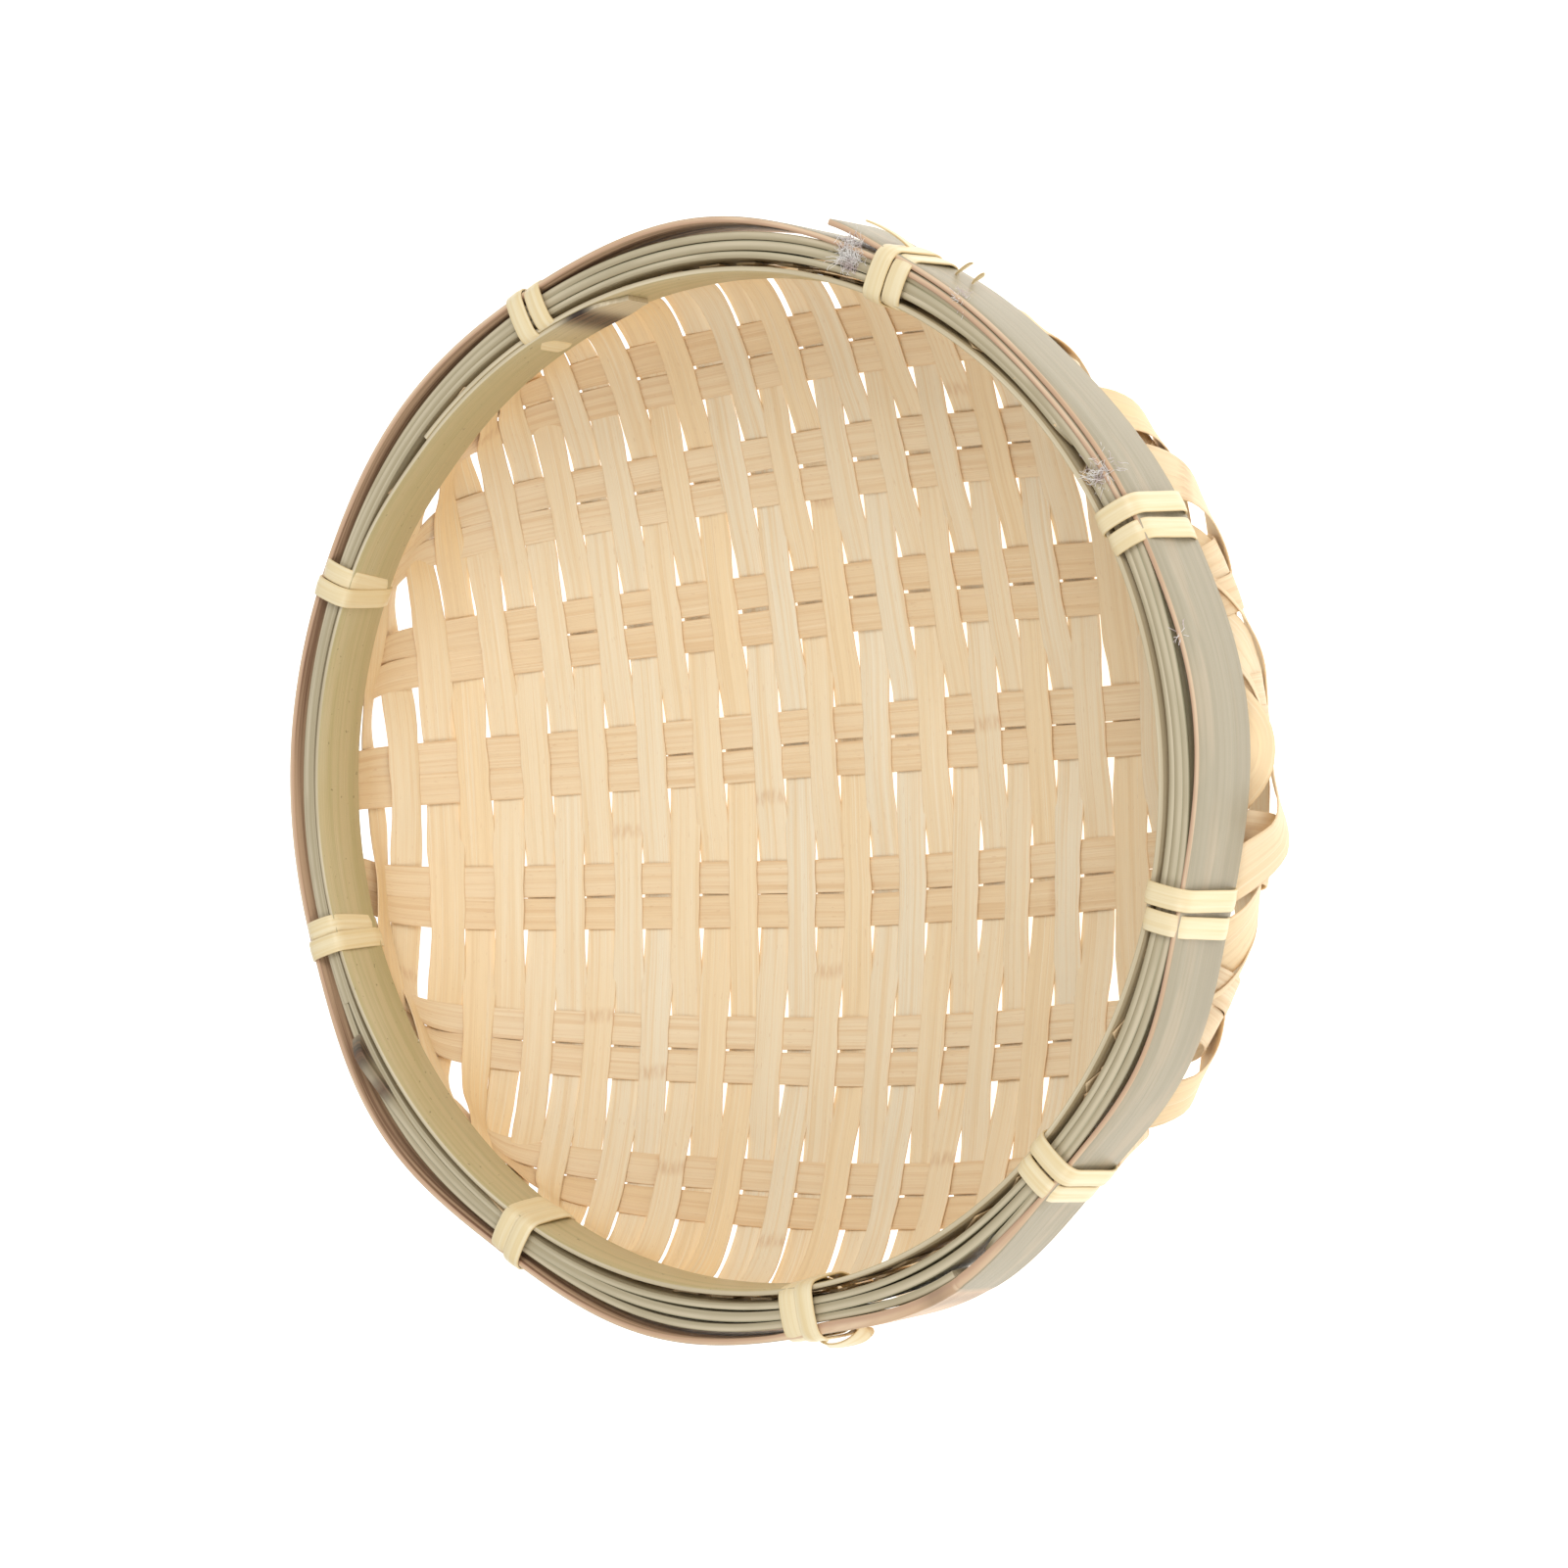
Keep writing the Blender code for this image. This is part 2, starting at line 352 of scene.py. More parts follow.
class PointTree(TreeWork):
    """A Geometry Nodes tree that makes a plain mesh from a mesh of points."""

    def __init__(self, name: str, inputs: dict[str, str]) -> None:
        """Starts the tree.

        Args:
            name: The tree's name.
            inputs: The kind of each input besides the points and the finish, by name.
        """
        super().__init__(bpy.data.node_groups.new(name, "GeometryNodeTree"))
        self.keys: dict[str, str] = {}
        face = self.tree.interface
        for label, kind in {"Points": "Geometry", **inputs, "Finish": "Material"}.items():
            socket = face.new_socket(name=label, in_out="INPUT", socket_type=f"NodeSocket{kind}")
            self.keys[label] = socket.identifier
        face.new_socket(name="Mesh", in_out="OUTPUT", socket_type="NodeSocketGeometry")
        self.given = self.tree.nodes.new("NodeGroupInput").outputs
        self.result = self.tree.nodes.new("NodeGroupOutput").inputs["Mesh"]

    def end(self, geometry: bpy.types.NodeSocket) -> None:
        """Ends the tree in Realize Instances and Set Material.

        Args:
            geometry: The socket of the shape.
        """
        real = self.add("GeometryNodeRealizeInstances", {"Geometry": geometry})
        dress = {"Geometry": real.outputs["Geometry"], "Material": self.given["Finish"]}
        self.put(self.add("GeometryNodeSetMaterial", dress).outputs["Geometry"], self.result)

    def run(self, points: bpy.types.Mesh, values: dict[str, object]) -> bpy.types.Mesh:
        """Runs the tree.

        Args:
            points: The mesh of points, which is used up.
            values: The value of each named input.

        Returns:
            The plain mesh.
        """
        holder = put_in_scene("points", points)
        grow = holder.modifiers.new("grow", "NODES")
        grow.node_group = self.tree
        for name, value in values.items():
            grow[self.keys[name]] = value
        graph = bpy.context.evaluated_depsgraph_get()
        mesh = bpy.data.meshes.new_from_object(
            holder.evaluated_get(graph), preserve_all_data_layers=True, depsgraph=graph
        )
        holder.modifiers.remove(grow)
        bpy.data.objects.remove(holder, do_unlink=True)
        bpy.data.meshes.remove(points)
        return mesh


class StripSweep(PointTree):
    """The tree that turns a strand's path into a closed strip: a capped tube, a ring for each point."""

    SIDES = 16
    EDGE_ROUNDNESS = 0.80
    SHARP_ANGLE = math.radians(38.0)
    VECTORS = ("path_point", "path_across", "path_facing")
    NUMBERS = ("half_width", "half_thick", "tone", "stain", "bare", "cup", "travel")
    PATH_ONLY = VECTORS + ("half_width", "half_thick", "cup")

    def __init__(self) -> None:
        """Builds the tree."""
        super().__init__(
            "strip sweep", {"Sides": "Int", "Squareness": "Float", "Edge Roundness": "Float"}
        )
        size = self.add("GeometryNodeAttributeDomainSize", {"Geometry": self.given["Points"]})
        steps = self.math("SUBTRACT", size.outputs["Point Count"], 1.0)
        tube_inputs = {"Vertices": self.given["Sides"], "Side Segments": steps, "Radius": 1.0, "Depth": 2.0}
        tube = self.add("GeometryNodeMeshCylinder", tube_inputs, fill_type="NGON")
        place = self.add("GeometryNodeInputPosition", {})
        apart = self.add("ShaderNodeSeparateXYZ", {"Vector": place.outputs["Position"]}).outputs
        share_along = self.math("MULTIPLY_ADD", apart["Z"], 0.5, 0.5)
        ring = self.math("ROUND", self.math("MULTIPLY", share_along, steps))
        across_share = self._power(apart["X"], self.given["Squareness"])
        through_share = self._power(apart["Y"], self.given["Edge Roundness"])

        # The shares are kept on the tube before its points move, because they read its position.
        kept = self._store(tube.outputs["Mesh"], "edge", across_share)
        kept = self._store(kept, "through", through_share)
        for name in self.NUMBERS:
            kept = self._store(kept, name, self._sample(name, ring, "FLOAT"))
        for name in self.VECTORS:
            kept = self._store(kept, name, self._sample(name, ring, "FLOAT_VECTOR"), "FLOAT_VECTOR")

        edge = self._named("edge")
        sideways = self._scaled("path_across", self.math("MULTIPLY", edge, self._named("half_width")))
        thick = self.math("MULTIPLY", self._named("through"), self._named("half_thick"))
        hollow = self.math("MULTIPLY", self.math("MULTIPLY", edge, edge), self._named("cup"))
        outwards = self._scaled("path_facing", self.math("SUBTRACT", thick, hollow))
        aside = self.vector("ADD", {0: sideways, 1: outwards})
        target = self.vector("ADD", {0: self._named("path_point", "FLOAT_VECTOR"), 1: aside})
        move = self.add("GeometryNodeSetPosition", {"Geometry": kept, "Position": target})

        # The grain's map, in millimetres: across the strip, then along it.
        width_mm = self.math("MULTIPLY", self._named("half_width"), 1 / MM)
        along_mm = self.math("MULTIPLY", self._named("travel"), 1 / MM)
        across_mm = self.math("MULTIPLY", edge, width_mm)
        grain = self.add("ShaderNodeCombineXYZ", {"X": across_mm, "Y": along_mm})
        moved = move.outputs["Geometry"]
        self.end(self._store(moved, "grain_map", grain.outputs["Vector"], "FLOAT2", "CORNER"))

    def _power(self, value: object, power: object) -> bpy.types.NodeSocket:
        """The value's size to a power, with its sign kept.

        Args:
            value: The socket to shape.
            power: The socket that holds the power.

        Returns:
            The shaped socket.
        """
        grown = self.math("POWER", self.math("ABSOLUTE", value), power)
        return self.math("MULTIPLY", self.math("SIGN", value), grown)

    def _named(self, name: str, kind: str = "FLOAT") -> bpy.types.NodeSocket:
        """Reads an attribute.

        Args:
            name: The attribute.
            kind: Its data type.

        Returns:
            The socket that carries it.
        """
        node = self.add("GeometryNodeInputNamedAttribute", {"Name": name}, data_type=kind)
        return node.outputs["Attribute"]

    def _store(
        self, geometry: object, name: str, value: object, kind: str = "FLOAT", domain: str = "POINT"
    ) -> bpy.types.NodeSocket:
        """Stores an attribute.

        Args:
            geometry: The socket of the geometry.
            name: The attribute's name.
            value: The socket of its value.
            kind: Its data type.
            domain: What it is stored on.

        Returns:
            The geometry socket that carries it.
        """
        inputs = {"Geometry": geometry, "Name": name, "Value": value}
        node = self.add("GeometryNodeStoreNamedAttribute", inputs, data_type=kind, domain=domain)
        return node.outputs["Geometry"]

    def _sample(self, name: str, ring: object, kind: str) -> bpy.types.NodeSocket:
        """The path's attribute at a ring.

        Args:
            name: The attribute on the path.
            ring: The socket of the ring's number.
            kind: The attribute's data type.

        Returns:
            The sampled socket.
        """
        inputs = {"Geometry": self.given["Points"], "Value": self._named(name, kind), "Index": ring}
        node = self.add("GeometryNodeSampleIndex", inputs, data_type=kind, domain="POINT", clamp=True)
        return node.outputs["Value"]

    def _scaled(self, name: str, scale: object) -> bpy.types.NodeSocket:
        """A stored vector times a number.

        Args:
            name: The vector attribute.
            scale: The socket of the number.

        Returns:
            The scaled vector's socket.
        """
        return self.vector("SCALE", {"Vector": self._named(name, "FLOAT_VECTOR"), "Scale": scale})

    def _swept(self, strand: Strand, finish: bpy.types.Material) -> bpy.types.Mesh:
        """Sweeps one strand.

        Args:
            strand: The strip.
            finish: Its material.

        Returns:
            A plain mesh of the strip.
        """
        path = bpy.data.meshes.new("path")
        edges = [(index, index + 1) for index in range(len(strand.points) - 1)]
        path.from_pydata([tuple(point) for point in strand.points], edges, [])
        along = unit(np.gradient(strand.points, axis=0))
        across = unit(np.cross(strand.facing, along))
        facing = unit(np.cross(along, across))
        travel = strand.travel_start + run_length(strand.points)
        for name, values in zip(self.VECTORS, (strand.points, across, facing)):
            layer = path.attributes.new(name, "FLOAT_VECTOR", "POINT")
            layer.data.foreach_set("vector", np.ascontiguousarray(values, np.float32).ravel())
        for name in self.NUMBERS:
            values = travel if name == "travel" else getattr(strand, name)
            layer = path.attributes.new(name, "FLOAT", "POINT")
            layer.data.foreach_set("value", np.ascontiguousarray(values, np.float32))
        values = {"Sides": self.SIDES, "Squareness": strand.squareness, "Finish": finish}
        mesh = self.run(path, {**values, "Edge Roundness": self.EDGE_ROUNDNESS})
        for name in self.PATH_ONLY:
            mesh.attributes.remove(mesh.attributes[name])
        return mesh

    def piece(
        self, name: str, strands: list[Strand], finish: bpy.types.Material
    ) -> bpy.types.Object:
        """Makes one piece from one or more strands.

        Args:
            name: The piece's name.
            strands: The strips that it is made of.
            finish: Its material.

        Returns:
            The piece, at the origin.
        """
        meshes = [self._swept(strand, finish) for strand in strands]
        mesh = meshes[0]
        if len(meshes) > 1:
            joined = bmesh.new()
            for part in meshes:
                joined.from_mesh(part)
            joined.to_mesh(mesh)
            joined.free()
            for part in meshes[1:]:
                bpy.data.meshes.remove(part)
        mesh.name = name
        mesh.shade_smooth()
        mesh.set_sharp_from_angle(angle=self.SHARP_ANGLE)
        return put_in_scene(name, mesh)


@dataclass(frozen=True)
class Streak:
    """A pattern along a strip: repeats a millimetre across and along, and the range that shows."""

    across: float
    along: float
    low: float
    high: float
    detail: float = 3.0
    rough: float = 0.55


class Finish(TreeWork):
    """A material whose patterns follow the grain map."""

    def __init__(self, name: str) -> None:
        """Starts an empty finish with one shader.

        Args:
            name: The material's name.
        """
        self.material = bpy.data.materials.new(name)
        self.material.use_nodes = True
        super().__init__(self.material.node_tree)
        self.shader = self.tree.nodes["Principled BSDF"]
        self.map = self.add("ShaderNodeUVMap", {}, uv_map="grain_map").outputs["UV"]

    def attribute(self, name: str) -> bpy.types.NodeSocket:
        """Reads a number kept on the strip.

        Args:
            name: The attribute's name.

        Returns:
            Its socket.
        """
        return self.add("ShaderNodeAttribute", {}, attribute_name=name).outputs["Fac"]

    def streaks(self, streak: Streak) -> tuple[bpy.types.NodeSocket, bpy.types.NodeSocket]:
        """Streaks that run along the strip.

        Args:
            streak: Their pattern.

        Returns:
            The raw pattern, for relief, and the part of it that shows, both from 0 to 1.
        """
        scale = (streak.across, streak.along, 1.0)
        stretch = self.add("ShaderNodeMapping", {"Vector": self.map, "Scale": scale}).outputs["Vector"]
        inputs = {"Vector": stretch, "Scale": 1.0, "Detail": streak.detail, "Roughness": streak.rough}
        raw = self.add("ShaderNodeTexNoise", inputs, noise_dimensions="2D").outputs["Fac"]
        return raw, self.span(raw, streak.low, streak.high)

    def span(self, value: object, low: float, high: float) -> bpy.types.NodeSocket:
        """Stretches a range to 0 to 1, and holds it there.

        Args:
            value: The socket.
            low: What becomes 0.
            high: What becomes 1.

        Returns:
            The stretched socket.
        """
        inputs = {"Value": value, "From Min": low, "From Max": high}
        return self.add("ShaderNodeMapRange", inputs, interpolation_type="SMOOTHSTEP").outputs["Result"]

    def mix(self, first: object, second: object, share: object, strength: float = 1.0) -> object:
        """Lays one colour over another.

        Args:
            first: The colour below, or its socket.
            second: The colour above, or its socket.
            share: How much of the second shows, from 0 to 1.
            strength: The most that it shows.

        Returns:
            The mixed colour's socket.
        """
        inputs = {0: self.math("MULTIPLY", share, strength), 6: first, 7: second}
        return self.add("ShaderNodeMix", inputs, data_type="RGBA", clamp_factor=True).outputs[2]

    def dress(self, body: object, roughness: float, specular: float, heights: tuple[object, object],
              depth: float) -> bpy.types.Material:
        """Ends the finish.

        Args:
            body: The colour's socket.
            roughness: The shader's roughness.
            specular: Its specular level.
            heights: Two sockets whose sum is the height map.
            depth: The height of 1, in metres.

        Returns:
            The material.
        """
        self.put(body, self.shader.inputs["Base Color"])
        self.shader.inputs["Roughness"].default_value = roughness
        self.shader.inputs["Specular IOR Level"].default_value = specular
        inputs = {"Strength": 1.0, "Distance": depth, "Height": self.math("ADD", *heights)}
        bump = self.add("ShaderNodeBump", inputs)
        self.put(bump.outputs["Normal"], self.shader.inputs["Normal"])
        return self.material


Colour = tuple[float, float, float, float]
Factors = tuple[float, float, float]


def tinted(colour: Colour, factors: Factors) -> Colour:
    """Scales each part of a colour, up to 1.

    Args:
        colour: The colour.
        factors: What its red, green and blue are multiplied by.

    Returns:
        The new colour.
    """
    red, green, blue = (min(part * factor, 1.0) for part, factor in zip(colour, factors))
    return (red, green, blue, 1.0)


@dataclass(frozen=True)
class SplintFinish:
    """Split bamboo without its skin: pale, with fine fibres along it and now and then a node."""

    name: str
    pale: Colour
    deep: Colour
    fibre: Colour
    stain: Colour = (0.16, 0.085, 0.045, 1.0)
    lighter: Factors = (1.06, 1.07, 1.12)
    browner: Factors = (0.80, 0.66, 0.60)
    fibre_share: float = 0.55
    broad_share: float = 0.65
    pale_line_share: float = 0.5
    node_share: float = 0.55
    fleck_share: float = 0.28
    # edge_share: how strongly painted shade darkens the splint's long edges.
    edge_share: float = 0.22
    broad: Streak = Streak(0.9, 0.012, 0.42, 0.72)
    fine: Streak = Streak(6.5, 0.035, 0.50, 0.74, rough=0.6)
    pale_line: Streak = Streak(3.2, 0.02, 0.55, 0.75, detail=2.0)
    speckle: Streak = Streak(1.1, 0.25, 0.20, 0.75, detail=2.0, rough=0.5)
    fleck: Streak = Streak(2.0, 0.35, 0.70, 0.80, detail=2.0, rough=0.5)
    node_spacing: float = 150.0
    node_band: tuple[float, float] = (0.2, 2.2)
    dark_edge_band: tuple[float, float] = (0.90, 1.0)
    roughness: float = 0.50
    specular: float = 0.35
    relief: float = 0.00006

    def make(self) -> bpy.types.Material:
        """Builds the material.

        Returns:
            The material.
        """
        work = Finish(self.name)
        # Tone is the splint's own colour drift. On the warps it also carries painted warm light up the
        # walls.
        body = work.mix(self.pale, self.deep, work.attribute("tone"))
        broad, broad_shown = work.streaks(self.broad)
        body = work.mix(body, self.fibre, broad_shown, self.broad_share)
        fine, fine_shown = work.streaks(self.fine)
        body = work.mix(body, self.fibre, fine_shown, self.fibre_share)
        paler_fibre = tinted(self.pale, self.lighter)
        body = work.mix(body, paler_fibre, work.streaks(self.pale_line)[1], self.pale_line_share)
        # A node crosses the strip as a narrow speckled band.
        along = work.add("ShaderNodeSeparateXYZ", {"Vector": work.map}).outputs["Y"]
        cell = work.math("PINGPONG", along, self.node_spacing)
        band = work.math("SUBTRACT", 1.0, work.span(cell, *self.node_band))
        band = work.math("MULTIPLY", band, work.streaks(self.speckle)[1])
        node_and_shade_tan = tinted(self.fibre, self.browner)
        body = work.mix(body, node_and_shade_tan, band, self.node_share)
        body = work.mix(body, node_and_shade_tan, work.streaks(self.fleck)[1], self.fleck_share)
        # Painted shade: the splint darkens towards its long edges, where the strips beside it shade it. The
        # same tan also colours the real nodes and flecks.
        edge = work.span(work.math("ABSOLUTE", work.attribute("edge")), *self.dark_edge_band)
        body = work.mix(body, node_and_shade_tan, edge, self.edge_share)
        body = work.mix(body, self.stain, work.attribute("stain"))
        return work.dress(body, self.roughness, self.specular, (fine, broad), self.relief)


@dataclass(frozen=True)
class HoopFinish:
    """A bent strip with its green skin dried to khaki on one face, tan flesh on its edges, and a dark brown
    back face that is partly painted shade.
    """

    name: str
    skin: Colour
    skin_deep: Colour
    flesh: Colour
    flesh_deep: Colour
    edge_line: Colour
    # The back face's colour: partly the bamboo's own brown, partly painted shade.
    back: Colour
    speck: Colour = (0.12, 0.07, 0.03, 1.0)
    scorch_light: Colour = (0.20, 0.105, 0.06, 1.0)
    scorch_dark: Colour = (0.028, 0.016, 0.012, 1.0)
    tone_share: float = 0.5
    fine_share: float = 0.16
    blotch_share: float = 0.16
    speck_share: float = 0.5
    line_share: float = 0.5
    broad: Streak = Streak(0.7, 0.010, 0.35, 0.70, detail=4.0, rough=0.6)
    fine: Streak = Streak(4.5, 0.03, 0.5, 0.8, rough=0.6)
    blotch: Streak = Streak(0.16, 0.03, 0.52, 0.70)
    specks: Streak = Streak(0.9, 0.7, 0.735, 0.80, detail=2.0, rough=0.5)
    flesh_streak: Streak = Streak(3.0, 0.02, 0.35, 0.70, detail=4.0)
    flesh_line: Streak = Streak(7.0, 0.05, 0.55, 0.72, detail=2.0)
    scorched: Streak = Streak(2.2, 0.04, 0.30, 0.60, detail=4.0, rough=0.7)
    inner_range: tuple[float, float] = (0.30, 0.65)
    bare_range: tuple[float, float] = (0.15, 0.45)
    # Places through the strip, from -1, its inner face, to 1, its skin.
    light_edge: tuple[float, float] = (-0.55, 0.30)
    back_edge: tuple[float, float] = (-0.90, -0.60)
    skin_edge: tuple[float, float] = (0.62, 0.86)
    roughness: float = 0.42
    specular: float = 0.45
    relief: float = 0.00005

    def make(self) -> bpy.types.Material:
        """Builds the material.

        Returns:
            The material.
        """
        work = Finish(self.name)
        through = work.attribute("through")
        broad, broad_shown = work.streaks(self.broad)
        skin = work.mix(self.skin, self.skin_deep, broad_shown)
        skin = work.mix(skin, self.skin_deep, work.attribute("tone"), self.tone_share)
        fine, fine_shown = work.streaks(self.fine)
        skin = work.mix(skin, self.flesh, fine_shown, self.fine_share)
        skin = work.mix(skin, self.flesh, work.streaks(self.blotch)[1], self.blotch_share)
        skin = work.mix(skin, self.speck, work.streaks(self.specks)[1], self.speck_share)
        flesh = work.mix(self.flesh, self.flesh_deep, work.streaks(self.flesh_streak)[1])
        flesh = work.mix(flesh, self.edge_line, work.streaks(self.flesh_line)[1], self.line_share)
        # The cut edge is light towards the skin and a pinker brown towards the inner face.
        rim = work.mix(self.edge_line, flesh, work.span(through, *self.light_edge))
        # Painted shade: the back face, pressed against the parts behind it, is dark brown. This is partly
        # its own colour and partly painted shade.
        back_face_and_shade = work.mix(self.back, self.flesh_deep, work.span(broad, *self.inner_range))
        rim = work.mix(back_face_and_shade, rim, work.span(through, *self.back_edge))
        bare = work.math("MULTIPLY", work.attribute("bare"), work.span(fine, *self.bare_range))
        skin = work.mix(skin, flesh, bare)
        body = work.mix(rim, skin, work.span(through, *self.skin_edge))
        scorch = work.mix(self.scorch_light, self.scorch_dark, work.streaks(self.scorched)[1])
        body = work.mix(body, scorch, work.span(work.attribute("stain"), 0.0, 1.0))
        return work.dress(body, self.roughness, self.specular, (fine, broad), self.relief)


@dataclass(frozen=True)
class TieFinish:
    """A thin, smooth, pale strip with a soft gloss."""

    name: str
    pale: Colour
    deep: Colour
    stain: Colour = (0.30, 0.19, 0.10, 1.0)
    browner: Factors = (0.82, 0.74, 0.62)
    broad: Streak = Streak(1.1, 0.02, 0.30, 0.75)
    fine: Streak = Streak(4.0, 0.04, 0.5, 0.8, detail=2.0)
    fine_share: float = 0.5
    dark_edge_band: tuple[float, float] = (0.88, 1.0)
    dark_edge_share: float = 0.6
    roughness: float = 0.34
    specular: float = 0.45
    relief: float = 0.00004

    def make(self) -> bpy.types.Material:
        """Builds the material.

        Returns:
            The material.
        """
        work = Finish(self.name)
        broad, broad_shown = work.streaks(self.broad)
        body = work.mix(self.pale, self.deep, broad_shown)
        fine, fine_shown = work.streaks(self.fine)
        body = work.mix(body, self.deep, fine_shown, self.fine_share)
        # The tie darkens towards its long edges.
        edge = work.span(work.math("ABSOLUTE", work.attribute("edge")), *self.dark_edge_band)
        body = work.mix(body, tinted(self.deep, self.browner), edge, self.dark_edge_share)
        body = work.mix(body, self.stain, work.attribute("stain"))
        return work.dress(body, self.roughness, self.specular, (fine, broad), self.relief)


def finishes() -> dict[Grain, bpy.types.Material]:
    """Makes every finish of the basket.

    Returns:
        The material of each kind of surface.
    """
    warp = SplintFinish(
        Grain.WARP.value,
        pale=(0.900, 0.790, 0.590, 1.0),
        deep=(0.950, 0.710, 0.400, 1.0),
        fibre=(0.850, 0.630, 0.365, 1.0),
    )
    weft = SplintFinish(
        Grain.WEFT.value,
        pale=(0.910, 0.740, 0.500, 1.0),
        deep=(0.860, 0.640, 0.380, 1.0),
        fibre=(0.780, 0.540, 0.300, 1.0),
        fibre_share=0.60,
        node_spacing=190.0,
    )
    outer = HoopFinish(
        Grain.OUTER_HOOP.value,
        skin=(0.430, 0.375, 0.262, 1.0),
        skin_deep=(0.375, 0.325, 0.220, 1.0),
        flesh=(0.820, 0.610, 0.410, 1.0),
        flesh_deep=(0.660, 0.440, 0.270, 1.0),
        edge_line=(0.600, 0.385, 0.250, 1.0),
        # The outer hoop's back face is the darkest: partly its own brown, partly painted shade.
        back=(0.260, 0.135, 0.080, 1.0),
        speck_share=0.0,
    )
    inner = HoopFinish(
        Grain.INNER_HOOP.value,
        skin=(0.640, 0.525, 0.300, 1.0),
        skin_deep=(0.540, 0.460, 0.235, 1.0),
        flesh=(0.740, 0.640, 0.450, 1.0),
        flesh_deep=(0.600, 0.500, 0.330, 1.0),
        edge_line=(0.580, 0.490, 0.320, 1.0),
        back=(0.400, 0.300, 0.150, 1.0),
    )
    filler = HoopFinish(
        Grain.FILLER.value,
        skin=(0.420, 0.380, 0.240, 1.0),
        skin_deep=(0.300, 0.275, 0.160, 1.0),
        flesh=(0.660, 0.570, 0.400, 1.0),
        flesh_deep=(0.520, 0.450, 0.300, 1.0),
        edge_line=(0.450, 0.380, 0.240, 1.0),
        back=(0.360, 0.290, 0.170, 1.0),
        speck_share=0.2,
    )
    tie = TieFinish(Grain.TIE.value, pale=(0.920, 0.790, 0.520, 1.0), deep=(0.850, 0.680, 0.380, 1.0))
    return {
        Grain.WARP: warp.make(),
        Grain.WEFT: weft.make(),
        Grain.OUTER_HOOP: outer.make(),
        Grain.INNER_HOOP: inner.make(),
        Grain.FILLER: filler.make(),
        Grain.TIE: tie.make(),
    }


@dataclass
class Rim:
    """The rim's places, read from the CAD hoops."""

    outer_radius: float = 0.0
    top: float = 0.0
    outer_height: float = 0.0
    inner_radius: float = 0.0
    inner_top: float = 0.0
    inner_height: float = 0.0
    shift: float = 0.0
    tie_angles: tuple[float, ...] = (21.0, 63.0, 105.0, 149.0, 189.0, 224.0, 254.0, 293.0, 332.0)
    # How far the outer hoop springs out between each tie and the next, in millimetres.
    springs: tuple[float, ...] = (1.0, 0.3, 2.6, 1.4, 2.2, 1.6, 1.5, -1.0, 2.1)
    # The same for the outermost filler. The others follow it in part.
    filler_springs: tuple[float, ...] = (0.6, 0.3, 1.5, 1.0, 1.9, 0.9, 0.1, -1.1, 0.4)
    near_lean: float = 0.0017
    far_press: float = 0.0030
    side_power: float = 1.5

    def press(self, angles: np.ndarray) -> np.ndarray:
        """How far the inner hoop is pressed out against the fillers, most on the +Y side.

        Args:
            angles: Angles in degrees from +X towards +Y.

        Returns:
            The shift at each angle, in metres.
        """
        return self.far_press * np.clip(np.sin(np.radians(angles)), 0.0, 1.0) ** self.side_power

    def lean(self, angles: np.ndarray) -> np.ndarray:
        """How far the outer hoop's top edge leans in, which it does most on the -Y side.

        Args:
            angles: Angles in degrees from +X towards +Y.

        Returns:
            The lean at each angle, in metres.
        """
        return self.near_lean * np.clip(-np.sin(np.radians(angles)), 0.0, 1.0) ** self.side_power

    def measure(self) -> None:
        """Reads the hoops' boxes."""
        low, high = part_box("outer_hoop")
        self.outer_radius = high.y
        self.top = high.z
        self.outer_height = high.z - low.z
        low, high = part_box("inner_hoop")
        self.shift = -(low.y + high.y) / 2
        self.inner_radius = (high.y - low.y) / 2
        self.inner_top = high.z
        self.inner_height = high.z - low.z

    def spring(self, angles: np.ndarray, springs: tuple[float, ...]) -> np.ndarray:
        """How far a strip stands out of a true circle.

        Args:
            angles: Angles in degrees from +X towards +Y.
            springs: The most that it stands out between each tie and the next, in millimetres.

        Returns:
            The extra radius at each angle, in metres.
        """
        turned = np.mod(angles - self.tie_angles[0], 360.0) + self.tie_angles[0]
        stops = list(self.tie_angles) + [self.tie_angles[0] + 360.0]
        out = np.zeros_like(turned)
        for low, high, reach in zip(stops, stops[1:], springs):
            share = np.clip((turned - low) / (high - low), 0.0, 1.0)
            out += reach * MM * np.sin(math.pi * share) ** 2
        return out


